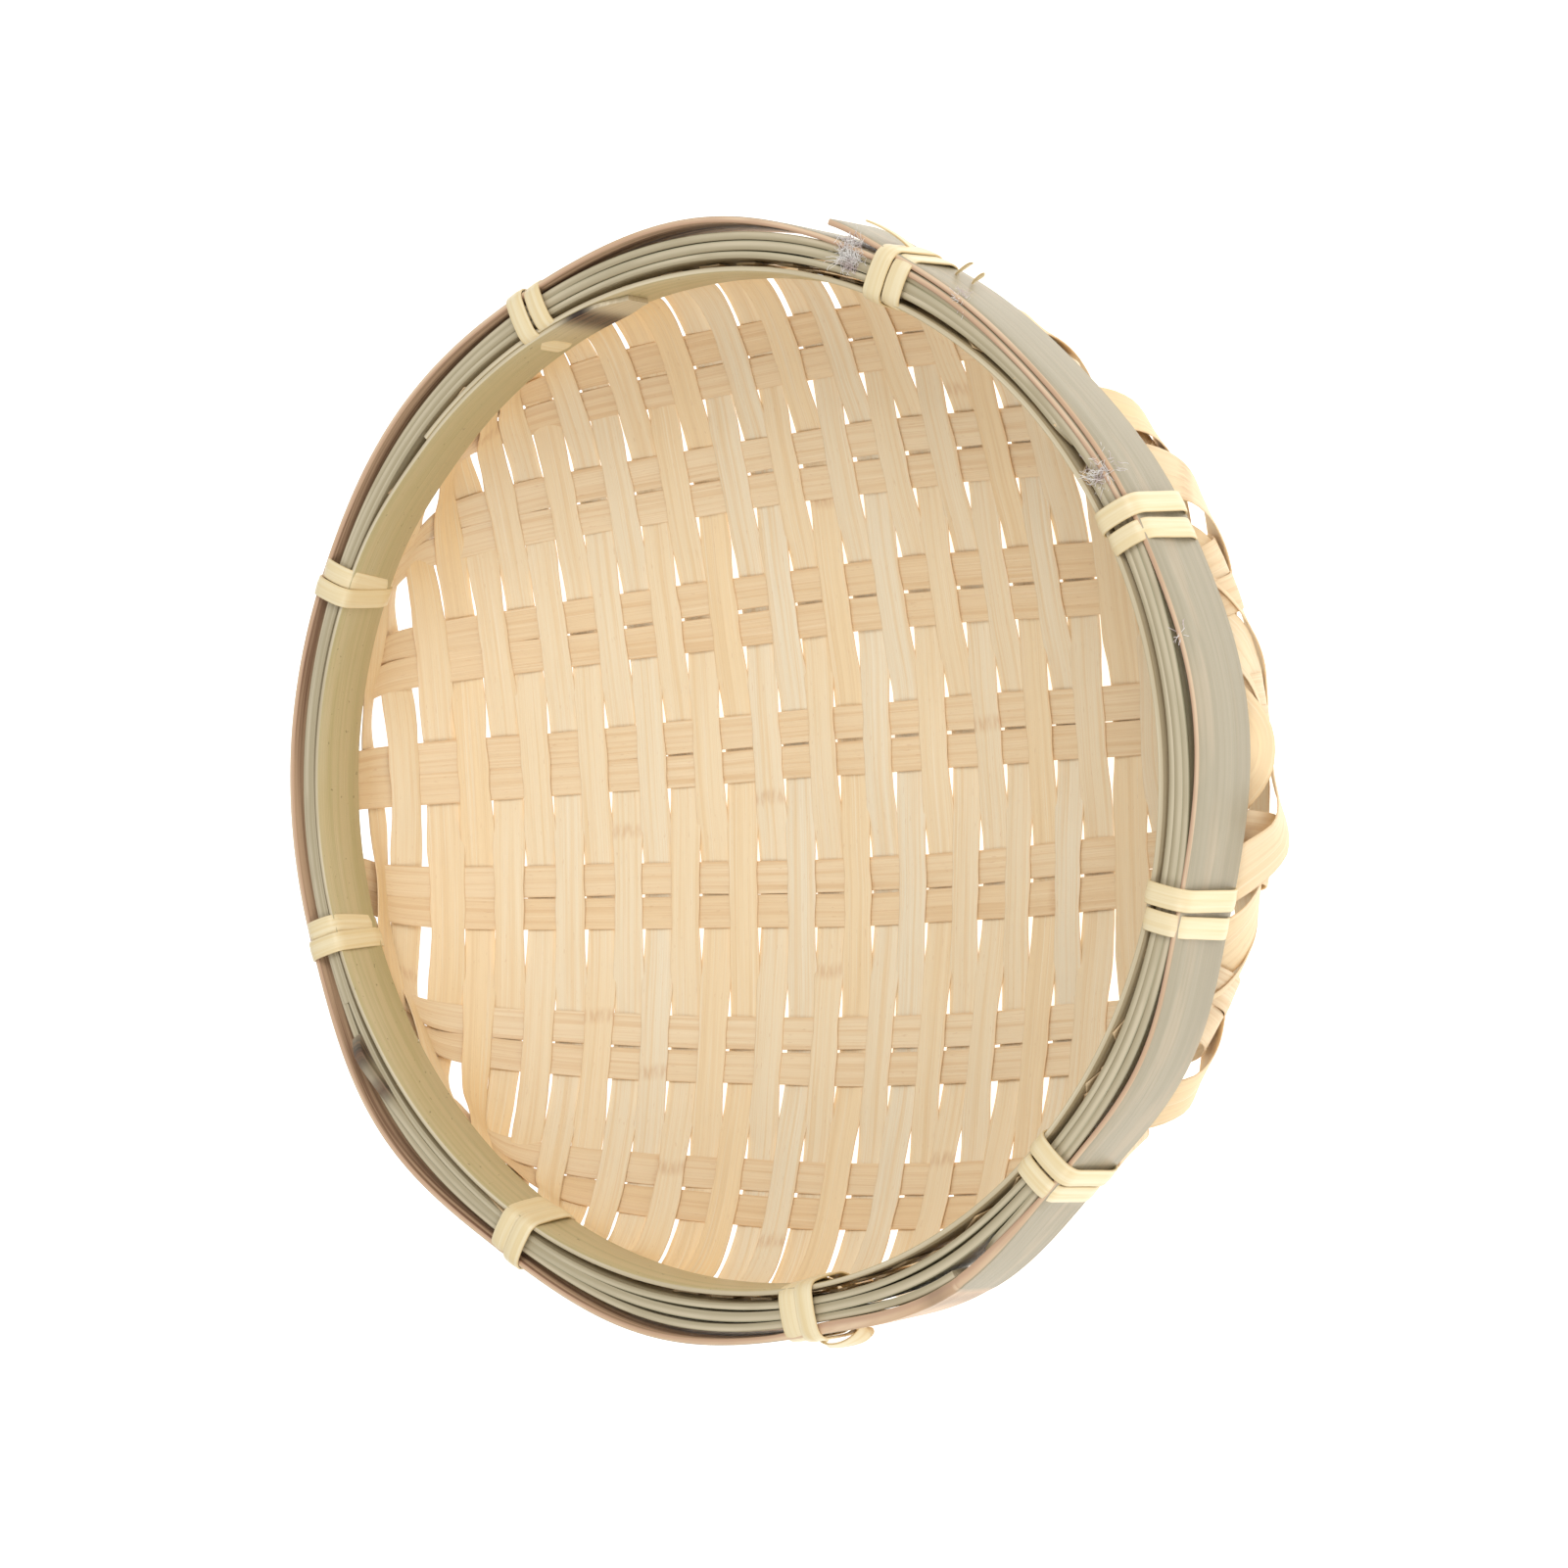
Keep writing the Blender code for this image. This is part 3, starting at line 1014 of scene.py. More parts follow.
@dataclass
class BowlShape:
    """The bowl's middle surface: flat in the middle, widest below the rim, drawn in at the top."""

    floor_radius: float = 0.020
    floor_height: float = 0.00112
    bulge_radius: float = 0.0955
    bulge_height: float = 0.0365
    wall_radius: float = 0.09235
    wall_base: float = 0.0455
    top: float = 0.0535
    curve_power: float = 1.2
    samples: int = 200
    wall_samples: int = 12
    floor_samples: int = 24

    def profile(self) -> np.ndarray:
        """The section.

        Returns:
            Rows of radius and height, from the axis to the rim.
        """
        turn = np.linspace(0.0, math.pi / 2, self.samples)
        reach = self.bulge_radius - self.floor_radius
        rise = self.bulge_height - self.floor_height
        side = np.stack(
            [
                self.floor_radius + reach * np.sin(turn) ** (2 / self.curve_power),
                self.floor_height + rise * (1 - np.cos(turn)),
            ],
            axis=1,
        )
        share = np.linspace(0.0, 1.0, self.samples // 2)[1:]
        drawn = (self.bulge_radius - self.wall_radius) * (1 - np.cos(share * math.pi)) / 2
        neck = np.stack(
            [self.bulge_radius - drawn, self.bulge_height + (self.wall_base - self.bulge_height) * share],
            axis=1,
        )
        rise_share = np.linspace(0.0, 1.0, self.wall_samples)[1:]
        wall = np.stack(
            [
                np.full(len(rise_share), self.wall_radius),
                self.wall_base + (self.top - self.wall_base) * rise_share,
            ],
            axis=1,
        )
        flat = np.linspace(0.0, self.floor_radius, self.floor_samples)[:-1]
        floor = np.stack([flat, np.full(len(flat), self.floor_height)], axis=1)
        return np.concatenate([floor, side, neck, wall])


@dataclass
class SplintLine:
    """A splint's middle line on the bowl: points, inward normals and its own place along it."""

    points: np.ndarray
    normals: np.ndarray
    place: np.ndarray


@dataclass
class Weave:
    """The woven bowl: single warps along X, over and under pairs of wefts along Y."""

    rim: Rim
    bowl: BowlShape
    splint_thickness: float = 0.00038
    step: float = 0.0014
    least_points: int = 8
    most_rows: int = 900
    flat_points: int = 12
    least_run: float = 0.003
    least_slope: float = 0.02
    line_passes: int = 3
    pitch_passes: int = 6
    pair_flat: float = 0.00525
    pair_margin: float = 0.002
    warp_bow: float = 0.0049
    warp_fan: float = 0.0029
    weft_fan: float = 0.010
    fan_reach: float = 0.100
    floor_lift: float = 0.00052
    wall_lift: float = 0.00100
    near_wall_lift: float = 0.00230
    near_overlap: float = 0.14
    weft_sway: float = 0.00016
    # Painted light: how much more of the deep, warmer colour the steep walls get. It stands in for warm
    # light bounced inside the bowl and shining through the thin splints.
    painted_wall_warmth: float = 0.60
    narrow: float = 0.88
    wide: float = 1.0
    floor_keep: float = 0.80
    wall_keep: float = 0.15
    least_width: float = 0.0046
    most_width: float = 0.0100
    most_far_width: float = 0.0076
    near_bulge: float = 0.0048
    near_bulge_power: int = 3
    belly_heights: tuple[float, ...] = (0.004, 0.034, 0.0475, 0.060)
    press_heights: tuple[float, ...] = (0.030, 0.048)
    belly_lean: float = 0.60
    far_spread: float = 0.0066
    far_spread_power: int = 4
    near_climb: float = 0.0165
    near_from: float = 0.0500
    # A warp's half width as a share of its space, by its distance from the nearest weft pair.
    pair_distances: tuple[float, ...] = (0.0, 0.0045, 0.0085, 0.0135)
    beside_pair: float = 0.93
    open_height: float = 0.02
    end_rise: float = 0.012
    end_flattening: float = 0.65
    width_drift: tuple[tuple[float, float], ...] = ((0.025, 0.08), (0.035, 0.026))
    warp_drift: tuple[float, float] = (0.00030, 0.14)
    warp_tone: tuple[float, float] = (0.26, 0.20)
    warp_tone_drift: tuple[float, float] = (0.12, 0.2)
    warp_cup: tuple[float, float] = (-0.00012, 0.00016)
    weft_width: float = 0.0064
    weft_width_drift: tuple[float, float] = (0.03, 0.09)
    weft_drift: tuple[float, float] = (0.00022, 0.12)
    weft_tone: tuple[float, float] = (0.45, 0.25)
    weft_tone_drift: tuple[float, float] = (0.15, 0.2)
    weft_cup: tuple[float, float] = (-0.0001, 0.0001)
    grain_lengths: float = 3.0
    seed: int = 41

    def line(self, side: float, along_x: bool, climb: float = 0.0) -> SplintLine:
        """Lays a splint over the bowl from its middle to both ends.

        Near the floor it keeps to its plan line. Up the wall it can't bend sideways, so it keeps
        more and more to the straightest line over the surface, and meets the rim at a slant.

        Args:
            side: The plan distance of its middle from the axis.
            along_x: True for a warp, False for a weft.
            climb: How much further up the wall it lies, along the section.

        Returns:
            The splint's line, evenly stepped from end to end.
        """
        bow = self.warp_bow if along_x else 0.0
        fan = self.warp_fan if along_x else self.weft_fan
        first = self._half_line(side, -1.0, bow, fan, climb)
        second = self._half_line(side, 1.0, bow, fan, climb)
        rows = np.concatenate([first[::-1], second[1:]])
        length = run_length(rows[:, :3])
        count = max(int(length[-1] / self.step), self.least_points)
        even = smoothed(spaced(rows, length, count), self.line_passes)
        return SplintLine(points=even[:, :3], normals=unit(even[:, 3:]), place=even[:, 0].copy())

    def _half_line(
        self, side: float, direction: float, bow: float, fan: float, climb: float
    ) -> np.ndarray:
        """Steps from a splint's middle up to one end.

        Args:
            side: The plan distance of its middle from the axis.
            direction: 1 or -1, the way along it.
            bow: How far its end shifts sideways in plan at 100 mm, whatever its side.
            fan: The further shift for a splint at 100 mm.
            climb: How much further up the wall it lies, along the section.

        Returns:
            Rows of a point and the inward normal there.
        """
        profile = self.bowl.profile()
        slope = unit(np.gradient(profile, axis=0))
        arc = run_length(profile)
        widest = arc[int(np.argmax(profile[:, 0]))]
        low = profile[: int(np.argmax(profile[:, 0])) + 1, 0]
        run = max(math.sqrt(max(self.bowl.floor_radius**2 - side**2, 0.0)), self.least_run)
        flat_rows = np.linspace(0.0, run, self.flat_points)
        sign = math.copysign(1.0, side)
        radius = math.hypot(run, side)
        place = float(np.interp(radius, low, arc[: len(low)])) + climb
        turned = math.atan2(side, run * direction)
        rows = []
        for flat in flat_rows:
            at = float(np.interp(math.hypot(flat, side), low, arc[: len(low)])) + climb
            rows.append(self._row(at, math.atan2(side, flat * direction), arc, profile, slope))
        pace = self.step / 2
        while place < arc[-1] and len(rows) < self.most_rows:
            radius = float(np.interp(place, arc, profile[:, 0]))
            out = float(np.interp(place, arc, slope[:, 0]))
            rise = float(np.interp(place, arc, slope[:, 1]))
            straightest = math.acos(min(1.0, abs(side) / radius))
            along = radius * math.cos(turned)
            drift = -2 * (bow + fan * side / self.fan_reach) * along / self.fan_reach**2
            outward = math.cos(turned) * direction + math.sin(turned) * drift * direction
            sideways = (math.sin(turned) - math.cos(turned) * drift) * sign
            kept = math.pi / 2
            if place < widest:
                kept = math.atan2(outward / max(out, self.least_slope), sideways)
            share = self.floor_keep + (self.wall_keep - self.floor_keep) * rise
            pitch = straightest + share * (kept - straightest)
            place += pace * math.sin(pitch)
            turned -= direction * sign * pace * math.cos(pitch) / radius
            rows.append(self._row(place, turned, arc, profile, slope))
        return np.array(rows)

    def _row(
        self, place: float, turned: float, arc: np.ndarray, profile: np.ndarray, slope: np.ndarray
    ) -> list[float]:
        """A point of the bowl's surface and its inward normal.

        Args:
            place: The length along the section.
            turned: The angle round the axis.
            arc: The lengths of the section's rows.
            profile: The section's rows.
            slope: Their directions.

        Returns:
            Six numbers.
        """
        radius, height = (float(np.interp(place, arc, profile[:, axis])) for axis in (0, 1))
        out, rise = (float(np.interp(place, arc, slope[:, axis])) for axis in (0, 1))
        x, y = math.cos(turned), math.sin(turned)
        return [radius * x, radius * y, height, -rise * x, -rise * y, out]

    def _into_frame(self, line: SplintLine, along_x: bool) -> None:
        """Turns a weft's line to run along Y, and moves the line to the bowl's middle.

        Args:
            line: The line, changed in place.
            along_x: True for a warp.
        """
        if not along_x:
            for values in (line.points, line.normals):
                values[:] = np.stack([-values[:, 1], values[:, 0], values[:, 2]], axis=1)
        near = np.clip(-line.points[:, 1] / self.bowl.bulge_radius, 0.0, 1.0) ** self.near_bulge_power
        near *= 1 - self.belly_lean * line.points[:, 0] / self.bowl.bulge_radius
        height = line.points[:, 2]
        belly = eased(height, self.belly_heights, [0.0, 1.0, 0.0, 0.0])
        line.points[:, 1] -= self.near_bulge * near * belly + self.rim.shift
        around = np.degrees(np.arctan2(line.points[:, 1], line.points[:, 0]))
        outward = unit(line.points * (1.0, 1.0, 0.0))
        pressed = self.rim.press(around) * eased(height, self.press_heights, [0.0, 1.0])
        line.points += outward * pressed[:, None]

    def _side(self, node: str, axis: int) -> float:
        """The plan distance of a CAD splint from the bowl's axis.

        Args:
            node: The splint's node.
            axis: 0 for X, 1 for Y.

        Returns:
            The distance of its middle.
        """
        low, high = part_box(node)
        return (low[axis] + high[axis]) / 2 + (self.rim.shift if axis else 0.0)

    def build(self, sweep: StripSweep, finish: dict[Grain, bpy.types.Material]) -> list[bpy.types.Object]:
        """Weaves the bowl.

        Args:
            sweep: The strip maker.
            finish: The basket's finishes.

        Returns:
            The splints.
        """
        rng = np.random.default_rng(self.seed)
        warps = sorted(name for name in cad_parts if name.startswith("warp_"))
        wefts = sorted(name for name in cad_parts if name.startswith("weft_"))
        warp_sides = [self._side(name, 1) for name in warps]
        shares = [max(side / warp_sides[-1], 0.0) ** self.far_spread_power for side in warp_sides]
        warp_sides = [side + self.far_spread * share for side, share in zip(warp_sides, shares)]
        beyond = [max((-side - self.near_from) / self.near_from, 0.0) for side in warp_sides]
        climbs = [self.near_climb * share for share in beyond]
        weft_sides = [self._side(name, 0) for name in wefts]
        pairs = [(first + second) / 2 for first, second in zip(weft_sides[::2], weft_sides[1::2])]
        pieces = []
        lines = [self.line(side, True, climb) for side, climb in zip(warp_sides, climbs)]
        for index, name in enumerate(warps):
            pitch = self._pitch(index, lines)
            strand = self._warp(index, lines[index], pitch, pairs, rng)
            piece = sweep.piece(f"splint_{name}", [strand], finish[Grain.WARP])
            pieces.append(stand_for(piece, name))
        for index, (name, side) in enumerate(zip(wefts, weft_sides)):
            strand = self._weft(index, side, warp_sides, rng)
            piece = sweep.piece(f"splint_{name}", [strand], finish[Grain.WEFT])
            pieces.append(stand_for(piece, name))
        return pieces

    def _pitch(self, index: int, lines: list[SplintLine]) -> np.ndarray:
        """The space that a warp has, from the nearest points of the warps beside it.

        Args:
            index: The warp's number.
            lines: The lines of all warps.

        Returns:
            The space at each of its points.
        """
        here = lines[index].points
        spaces = []
        for other in (index - 1, index + 1):
            if 0 <= other < len(lines):
                apart = here[:, None, :] - lines[other].points[None, :, :]
                spaces.append(np.linalg.norm(apart, axis=2).min(axis=1))
        most = self.most_width if index < len(lines) // 2 else self.most_far_width
        return smoothed(np.clip(np.mean(spaces, axis=0), self.least_width, most), self.pitch_passes)

    def _warp(
        self,
        index: int,
        line: SplintLine,
        pitch: np.ndarray,
        pairs: list[float],
        rng: np.random.Generator,
    ) -> Strand:
        """One warp.

        Args:
            index: Its number from -Y.
            line: Its line on the bowl.
            pitch: Its space along the bowl's surface.
            pairs: The places of the weft pairs.
            rng: The seeded source of its unevenness.

        Returns:
            The strand.
        """
        points, normals = line.points, line.normals
        steep = np.clip(1.0 - normals[:, 2], 0.0, 1.0)
        near_side = np.clip(-points[:, 1] / self.bowl.bulge_radius, 0.0, 1.0) ** 2
        inside = self.floor_lift + (self.wall_lift - self.floor_lift) * steep
        leaning = 1 - self.belly_lean * points[:, 0] / self.bowl.bulge_radius
        outside = inside + (self.near_wall_lift - self.wall_lift) * steep * near_side * leaning
        stops: list[float] = []
        signs: list[float] = []
        reach = float(line.place.max())
        ordered = sorted((place, number) for number, place in enumerate(pairs))
        for place, number in ordered:
            if abs(place) > reach + self.pair_margin:
                continue
            sign = -1.0 if (number + index) % 2 else 1.0
            stops += [place - self.pair_flat, place + self.pair_flat]
            signs += [sign, sign]
        if not stops:
            stops, signs = [-reach, reach], [1.0, 1.0]
        sign = eased(line.place, stops, signs)
        lift = np.where(sign > 0, sign * inside, sign * outside)
        from_pair = np.min([np.abs(line.place - place) for place in pairs], axis=0)
        by_pair = [self.beside_pair, self.narrow, self.beside_pair, self.wide]
        widths = eased(from_pair, self.pair_distances, by_pair)
        open_share = np.clip((self.bowl.top - points[:, 2]) / self.open_height, 0.0, 1.0)
        half_width = pitch / 2 * (self.wide + (widths - self.wide) * open_share)
        half_width *= 1 + sum(wander(line.place, rng, *drift) for drift in self.width_drift)
        half_width *= 1 + self.near_overlap * near_side * steep
        end = np.clip((points[:, 2] - self.bowl.bulge_height) / self.end_rise, 0.0, 1.0)
        lift *= 1 - self.end_flattening * end
        sideways = unit(np.cross(normals, unit(np.gradient(points, axis=0))))
        points = points + normals * lift[:, None]
        points += sideways * wander(line.place, rng, *self.warp_drift)[:, None]
        line.points = points
        self._into_frame(line, True)
        tone = rng.normal(*self.warp_tone) + wander(line.place, rng, *self.warp_tone_drift)
        strand = Strand.even(line.points, line.normals, 1.0, self.splint_thickness)
        strand.half_width = half_width
        # The splint's own random tone, plus painted light: the tone grows with the wall's steepness, so the
        # walls show warmer and deeper.
        strand.tone = np.clip(np.clip(tone, 0.0, 1.0) + self.painted_wall_warmth * steep, 0.0, 1.0)
        strand.cup += rng.uniform(*self.warp_cup)
        strand.travel_start = rng.uniform(0.0, self.grain_lengths)
        return strand

    def _weft(self, index: int, side: float, warp_sides: list[float], rng: np.random.Generator) -> Strand:
        """One weft.

        Args:
            index: Its number from +X.
            side: Its place along X.
            warp_sides: The places of the warps.
            rng: The seeded source of its unevenness.

        Returns:
            The strand.
        """
        line = self.line(-side, False)
        number = index // 2
        signs = [1.0 if (number + warp) % 2 else -1.0 for warp in range(len(warp_sides))]
        sway = eased(line.place, warp_sides, signs) * self.weft_sway
        points = line.points + line.normals * sway[:, None]
        sideways = unit(np.cross(line.normals, unit(np.gradient(points, axis=0))))
        points += sideways * wander(line.place, rng, *self.weft_drift)[:, None]
        line.points = points
        self._into_frame(line, False)
        strand = Strand.even(line.points, line.normals, self.weft_width, self.splint_thickness)
        strand.half_width *= 1 + wander(line.place, rng, *self.weft_width_drift)
        tone = rng.normal(*self.weft_tone) + wander(line.place, rng, *self.weft_tone_drift)
        strand.tone = np.clip(tone, 0.0, 1.0)
        strand.cup += rng.uniform(*self.weft_cup)
        strand.travel_start = rng.uniform(0.0, self.grain_lengths)
        return strand


@dataclass
class OuterHoop:
    """The wide outer hoop: one strip bent round, lapped inside its own start."""

    rim: Rim
    ply: float = 0.0012
    start: float = 341.0
    lap: float = 48.0
    ramp: float = 50.0
    scarf: tuple[float, float] = (186.0, 208.0)
    scarf_depth: float = 0.0011
    end_spring: float = 0.0016
    end_spring_angle: float = 7.0
    deeper: float = 0.0018
    lap_gap: float = 1.08
    lap_settle: float = 3.0
    torn_swell: float = 0.9
    torn_angles: tuple[float, ...] = (184.0, 193.0, 212.0, 224.0)
    knot: tuple[float, float] = (205.5, 2.2)
    knot_stain: float = 0.40
    tone: tuple[float, float] = (0.4, 0.3)
    step: float = 1.0

    def build(self, sweep: StripSweep, finish: bpy.types.Material) -> bpy.types.Object:
        """Bends the hoop.

        Args:
            sweep: The strip maker.
            finish: The hoop's finish.

        Returns:
            The hoop.
        """
        travel = np.arange(0.0, 360.0 + self.lap, self.step)
        angles = self.start - travel
        outer = self.rim.outer_radius - self.ply / 2
        stops = [0.0, 360.0 - self.ramp, 360.0 - self.lap_settle, 360.0 + self.lap]
        inward = eased(travel, stops, [0.0, 0.0, 1.0, 1.0])
        radii = outer + self.rim.spring(angles, self.rim.springs) - inward * self.ply * self.lap_gap
        radii += self.end_spring * bell(travel, 0.0, self.end_spring_angle)
        turned = np.mod(angles, 360.0)
        in_scarf = (turned > self.scarf[0]) & (turned < self.scarf[1])
        share = np.clip((turned - self.scarf[0]) / (self.scarf[1] - self.scarf[0]), 0.0, 1.0)
        cut = np.where(in_scarf, self.scarf_depth * np.sin(share * math.pi / 2), 0.0)
        half_width = (self.rim.outer_height + self.deeper - cut) / 2
        middle = self.rim.top - half_width
        outward = outward_at(angles)
        lean = self.rim.lean(angles)
        points = outward * (radii - lean / 2)[:, None] + UP * middle[:, None]
        facing = outward + UP * (lean / self.rim.outer_height)[:, None]
        strand = Strand.even(points, facing, 1.0, self.ply, squareness=HOOP_SQUARENESS)
        strand.half_width = half_width
        strand.tone = self.tone[0] + self.tone[1] * np.sin(np.radians(angles) * 2.0)
        torn = eased(turned, self.torn_angles, [0.0, 1.0, 1.0, 0.0])
        strand.half_thick *= 1 + self.torn_swell * torn
        strand.points -= outward * (torn * self.torn_swell * self.ply / 2)[:, None]
        strand.bare = np.where(in_scarf, 1.0, 0.0)
        strand.stain = self.knot_stain * bell(turned, *self.knot)
        return stand_for(sweep.piece("hoop_outer", [strand], finish), "outer_hoop")


@dataclass
class InnerHoop:
    """The inner hoop, a flat strip inside the woven wall, its scorched end lapped by the first tie."""

    rim: Rim
    thickness: float = 0.0011
    end: float = 9.0
    lap: float = 34.0
    ramp: float = 16.0
    lap_gap: float = 0.9
    follow_press: float = 0.85
    tilt: float = 0.3
    narrowed: float = 0.45
    narrowed_angle: float = 2.5
    tone: tuple[float, float] = (0.5, 0.35)
    bare_angle: float = 9.0
    bare_most: float = 1.6
    scorch: tuple[float, float] = (6.5, 2.6)
    scorch_stain: float = 0.95
    step: float = 1.0

    def build(self, sweep: StripSweep, finish: bpy.types.Material) -> bpy.types.Object:
        """Bends the hoop.

        Args:
            sweep: The strip maker.
            finish: The hoop's finish.

        Returns:
            The hoop.
        """
        travel = np.arange(0.0, 360.0 + self.lap, self.step)
        angles = self.end + travel
        middle = self.rim.inner_radius - self.thickness / 2
        stops = [0.0, self.lap, self.lap + self.ramp, 360.0 + self.lap]
        inward = eased(travel, stops, [1.0, 1.0, 0.0, 0.0])
        press = self.rim.press(angles)
        thin = self.thickness * self.lap_gap
        radii = middle - inward * thin + press * self.follow_press
        outward = outward_at(angles)
        height = self.rim.inner_top - self.rim.inner_height / 2
        points = outward * radii[:, None] + UP * height - np.array([0.0, self.rim.shift, 0.0])
        facing = UP * (press * self.tilt / self.rim.inner_height)[:, None] - outward
        strand = Strand.even(points, facing, self.rim.inner_height, thin, squareness=HOOP_SQUARENESS)
        strand.half_width *= 1 - self.narrowed * bell(travel, 0.0, self.narrowed_angle)
        strand.tone = self.tone[0] + self.tone[1] * np.sin(np.radians(angles) * 1.5 + 1.0)
        strand.bare = np.clip(self.bare_most - travel / self.bare_angle, 0.0, 1.0)
        strand.stain = self.scorch_stain * bell(travel, *self.scorch)
        return stand_for(sweep.piece("hoop_inner", [strand], finish), "inner_hoop")


@dataclass(frozen=True)
class FillerTurn:
    """One turn of a filler strip round the rim."""

    start: float
    radius: float
    thickness: float
    drop: float
    follow: float
    loose: float = 0.0


@dataclass
class Fillers:
    """The filler strips, on edge between the woven wall and the outer hoop.

    The first goes round twice, and its scorched end stands loose between two ties.
    """

    rim: Rim
    turns: tuple[tuple[FillerTurn, ...], ...] = (
        (
            FillerTurn(304.0, radius=0.0936, thickness=0.0013, drop=-0.0002, follow=0.30),
            FillerTurn(117.0, radius=0.0952, thickness=0.0018, drop=-0.0003, follow=0.60, loose=1.0),
        ),
        (FillerTurn(212.0, radius=0.0969, thickness=0.0015, drop=-0.0002, follow=1.00),),
    )
    step: float = 1.0
    sweep_angle: float = 357.0
    ripple: float = 0.00012
    ripples: float = 9.0
    lean_share: float = 0.8
    loose_rise: float = 0.0022
    loose_rise_angle: float = 8.0
    loose_spring: float = 0.0008
    loose_spring_angle: float = 5.0
    end_widths: tuple[float, ...] = (0.6, 0.8, 0.95, 1.0)
    tone: tuple[float, float] = (0.5, 0.4)
    knots: tuple[tuple[float, float], ...] = ((2.0, 1.6), (7.0, 1.4))
    knot_stain: float = 0.45
    woody_angle: float = 10.0
    woody_swell: float = 0.35
    woody_stain: float = 0.40

    def build(self, sweep: StripSweep, finish: bpy.types.Material) -> list[bpy.types.Object]:
        """Bends the fillers.

        Args:
            sweep: The strip maker.
            finish: Their finish.

        Returns:
            The fillers.
        """
        pieces = []
        names = sorted(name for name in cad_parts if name.startswith("filler_"))
        for name, turns in zip(names, self.turns):
            low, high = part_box(name)
            strands = [self._turn(turn, low.z, high.z) for turn in turns]
            piece = sweep.piece(f"strip_{name}", strands, finish)
            pieces.append(stand_for(piece, name))
        return pieces

    def _turn(self, turn: FillerTurn, bottom: float, top: float) -> Strand:
        """One turn of a filler.

        Args:
            turn: Its place.
            bottom: Its lower edge.
            top: Its upper edge.

        Returns:
            The strand.
        """
        travel = np.arange(0.0, self.sweep_angle, self.step)
        angles = turn.start + travel
        radians = np.radians(angles)
        outward = outward_at(angles)
        rise = turn.loose * self.loose_rise * bell(travel, 0.0, self.loose_rise_angle)
        ripple = self.ripple * np.sin(radians * self.ripples + turn.start)
        height = (bottom + top) / 2 - turn.drop + rise
        radius = turn.radius + self.rim.spring(angles, self.rim.filler_springs) * turn.follow + ripple
        radius += turn.loose * self.loose_spring * bell(travel, 0.0, self.loose_spring_angle)
        radius -= turn.follow * self.rim.lean(angles) * self.lean_share
        radius += (1.0 - turn.follow) * self.rim.press(angles)
        points = outward * radius[:, None] + UP * height[:, None]
        points[:, 1] -= self.rim.shift
        strand = Strand.even(points, outward, top - bottom, turn.thickness, squareness=HOOP_SQUARENESS)
        strand.half_width[: len(self.end_widths)] *= self.end_widths
        strand.tone = self.tone[0] + self.tone[1] * np.sin(radians * 2.0 + turn.start)
        knots = np.clip(sum(bell(travel, *knot) for knot in self.knots), 0.0, 1.0)
        woody = bell(travel, 0.0, self.woody_angle, 4)
        strand.half_thick *= 1 + self.woody_swell * turn.loose * woody
        strand.bare = turn.loose * woody
        strand.stain = turn.loose * (self.woody_stain * woody + self.knot_stain * knots)
        strand.travel_start = turn.start / 100.0
        return strand


Offsets = tuple[tuple[float, float], ...]


@dataclass(frozen=True)
class TieShape:
    """How one tie's two turns lie, in millimetres from its middle.

    The first number of each pair is for the turn nearer the start of the rim's angle.
    """

    inside: tuple[float, float]
    top: tuple[float, float]
    outside: tuple[float, float]


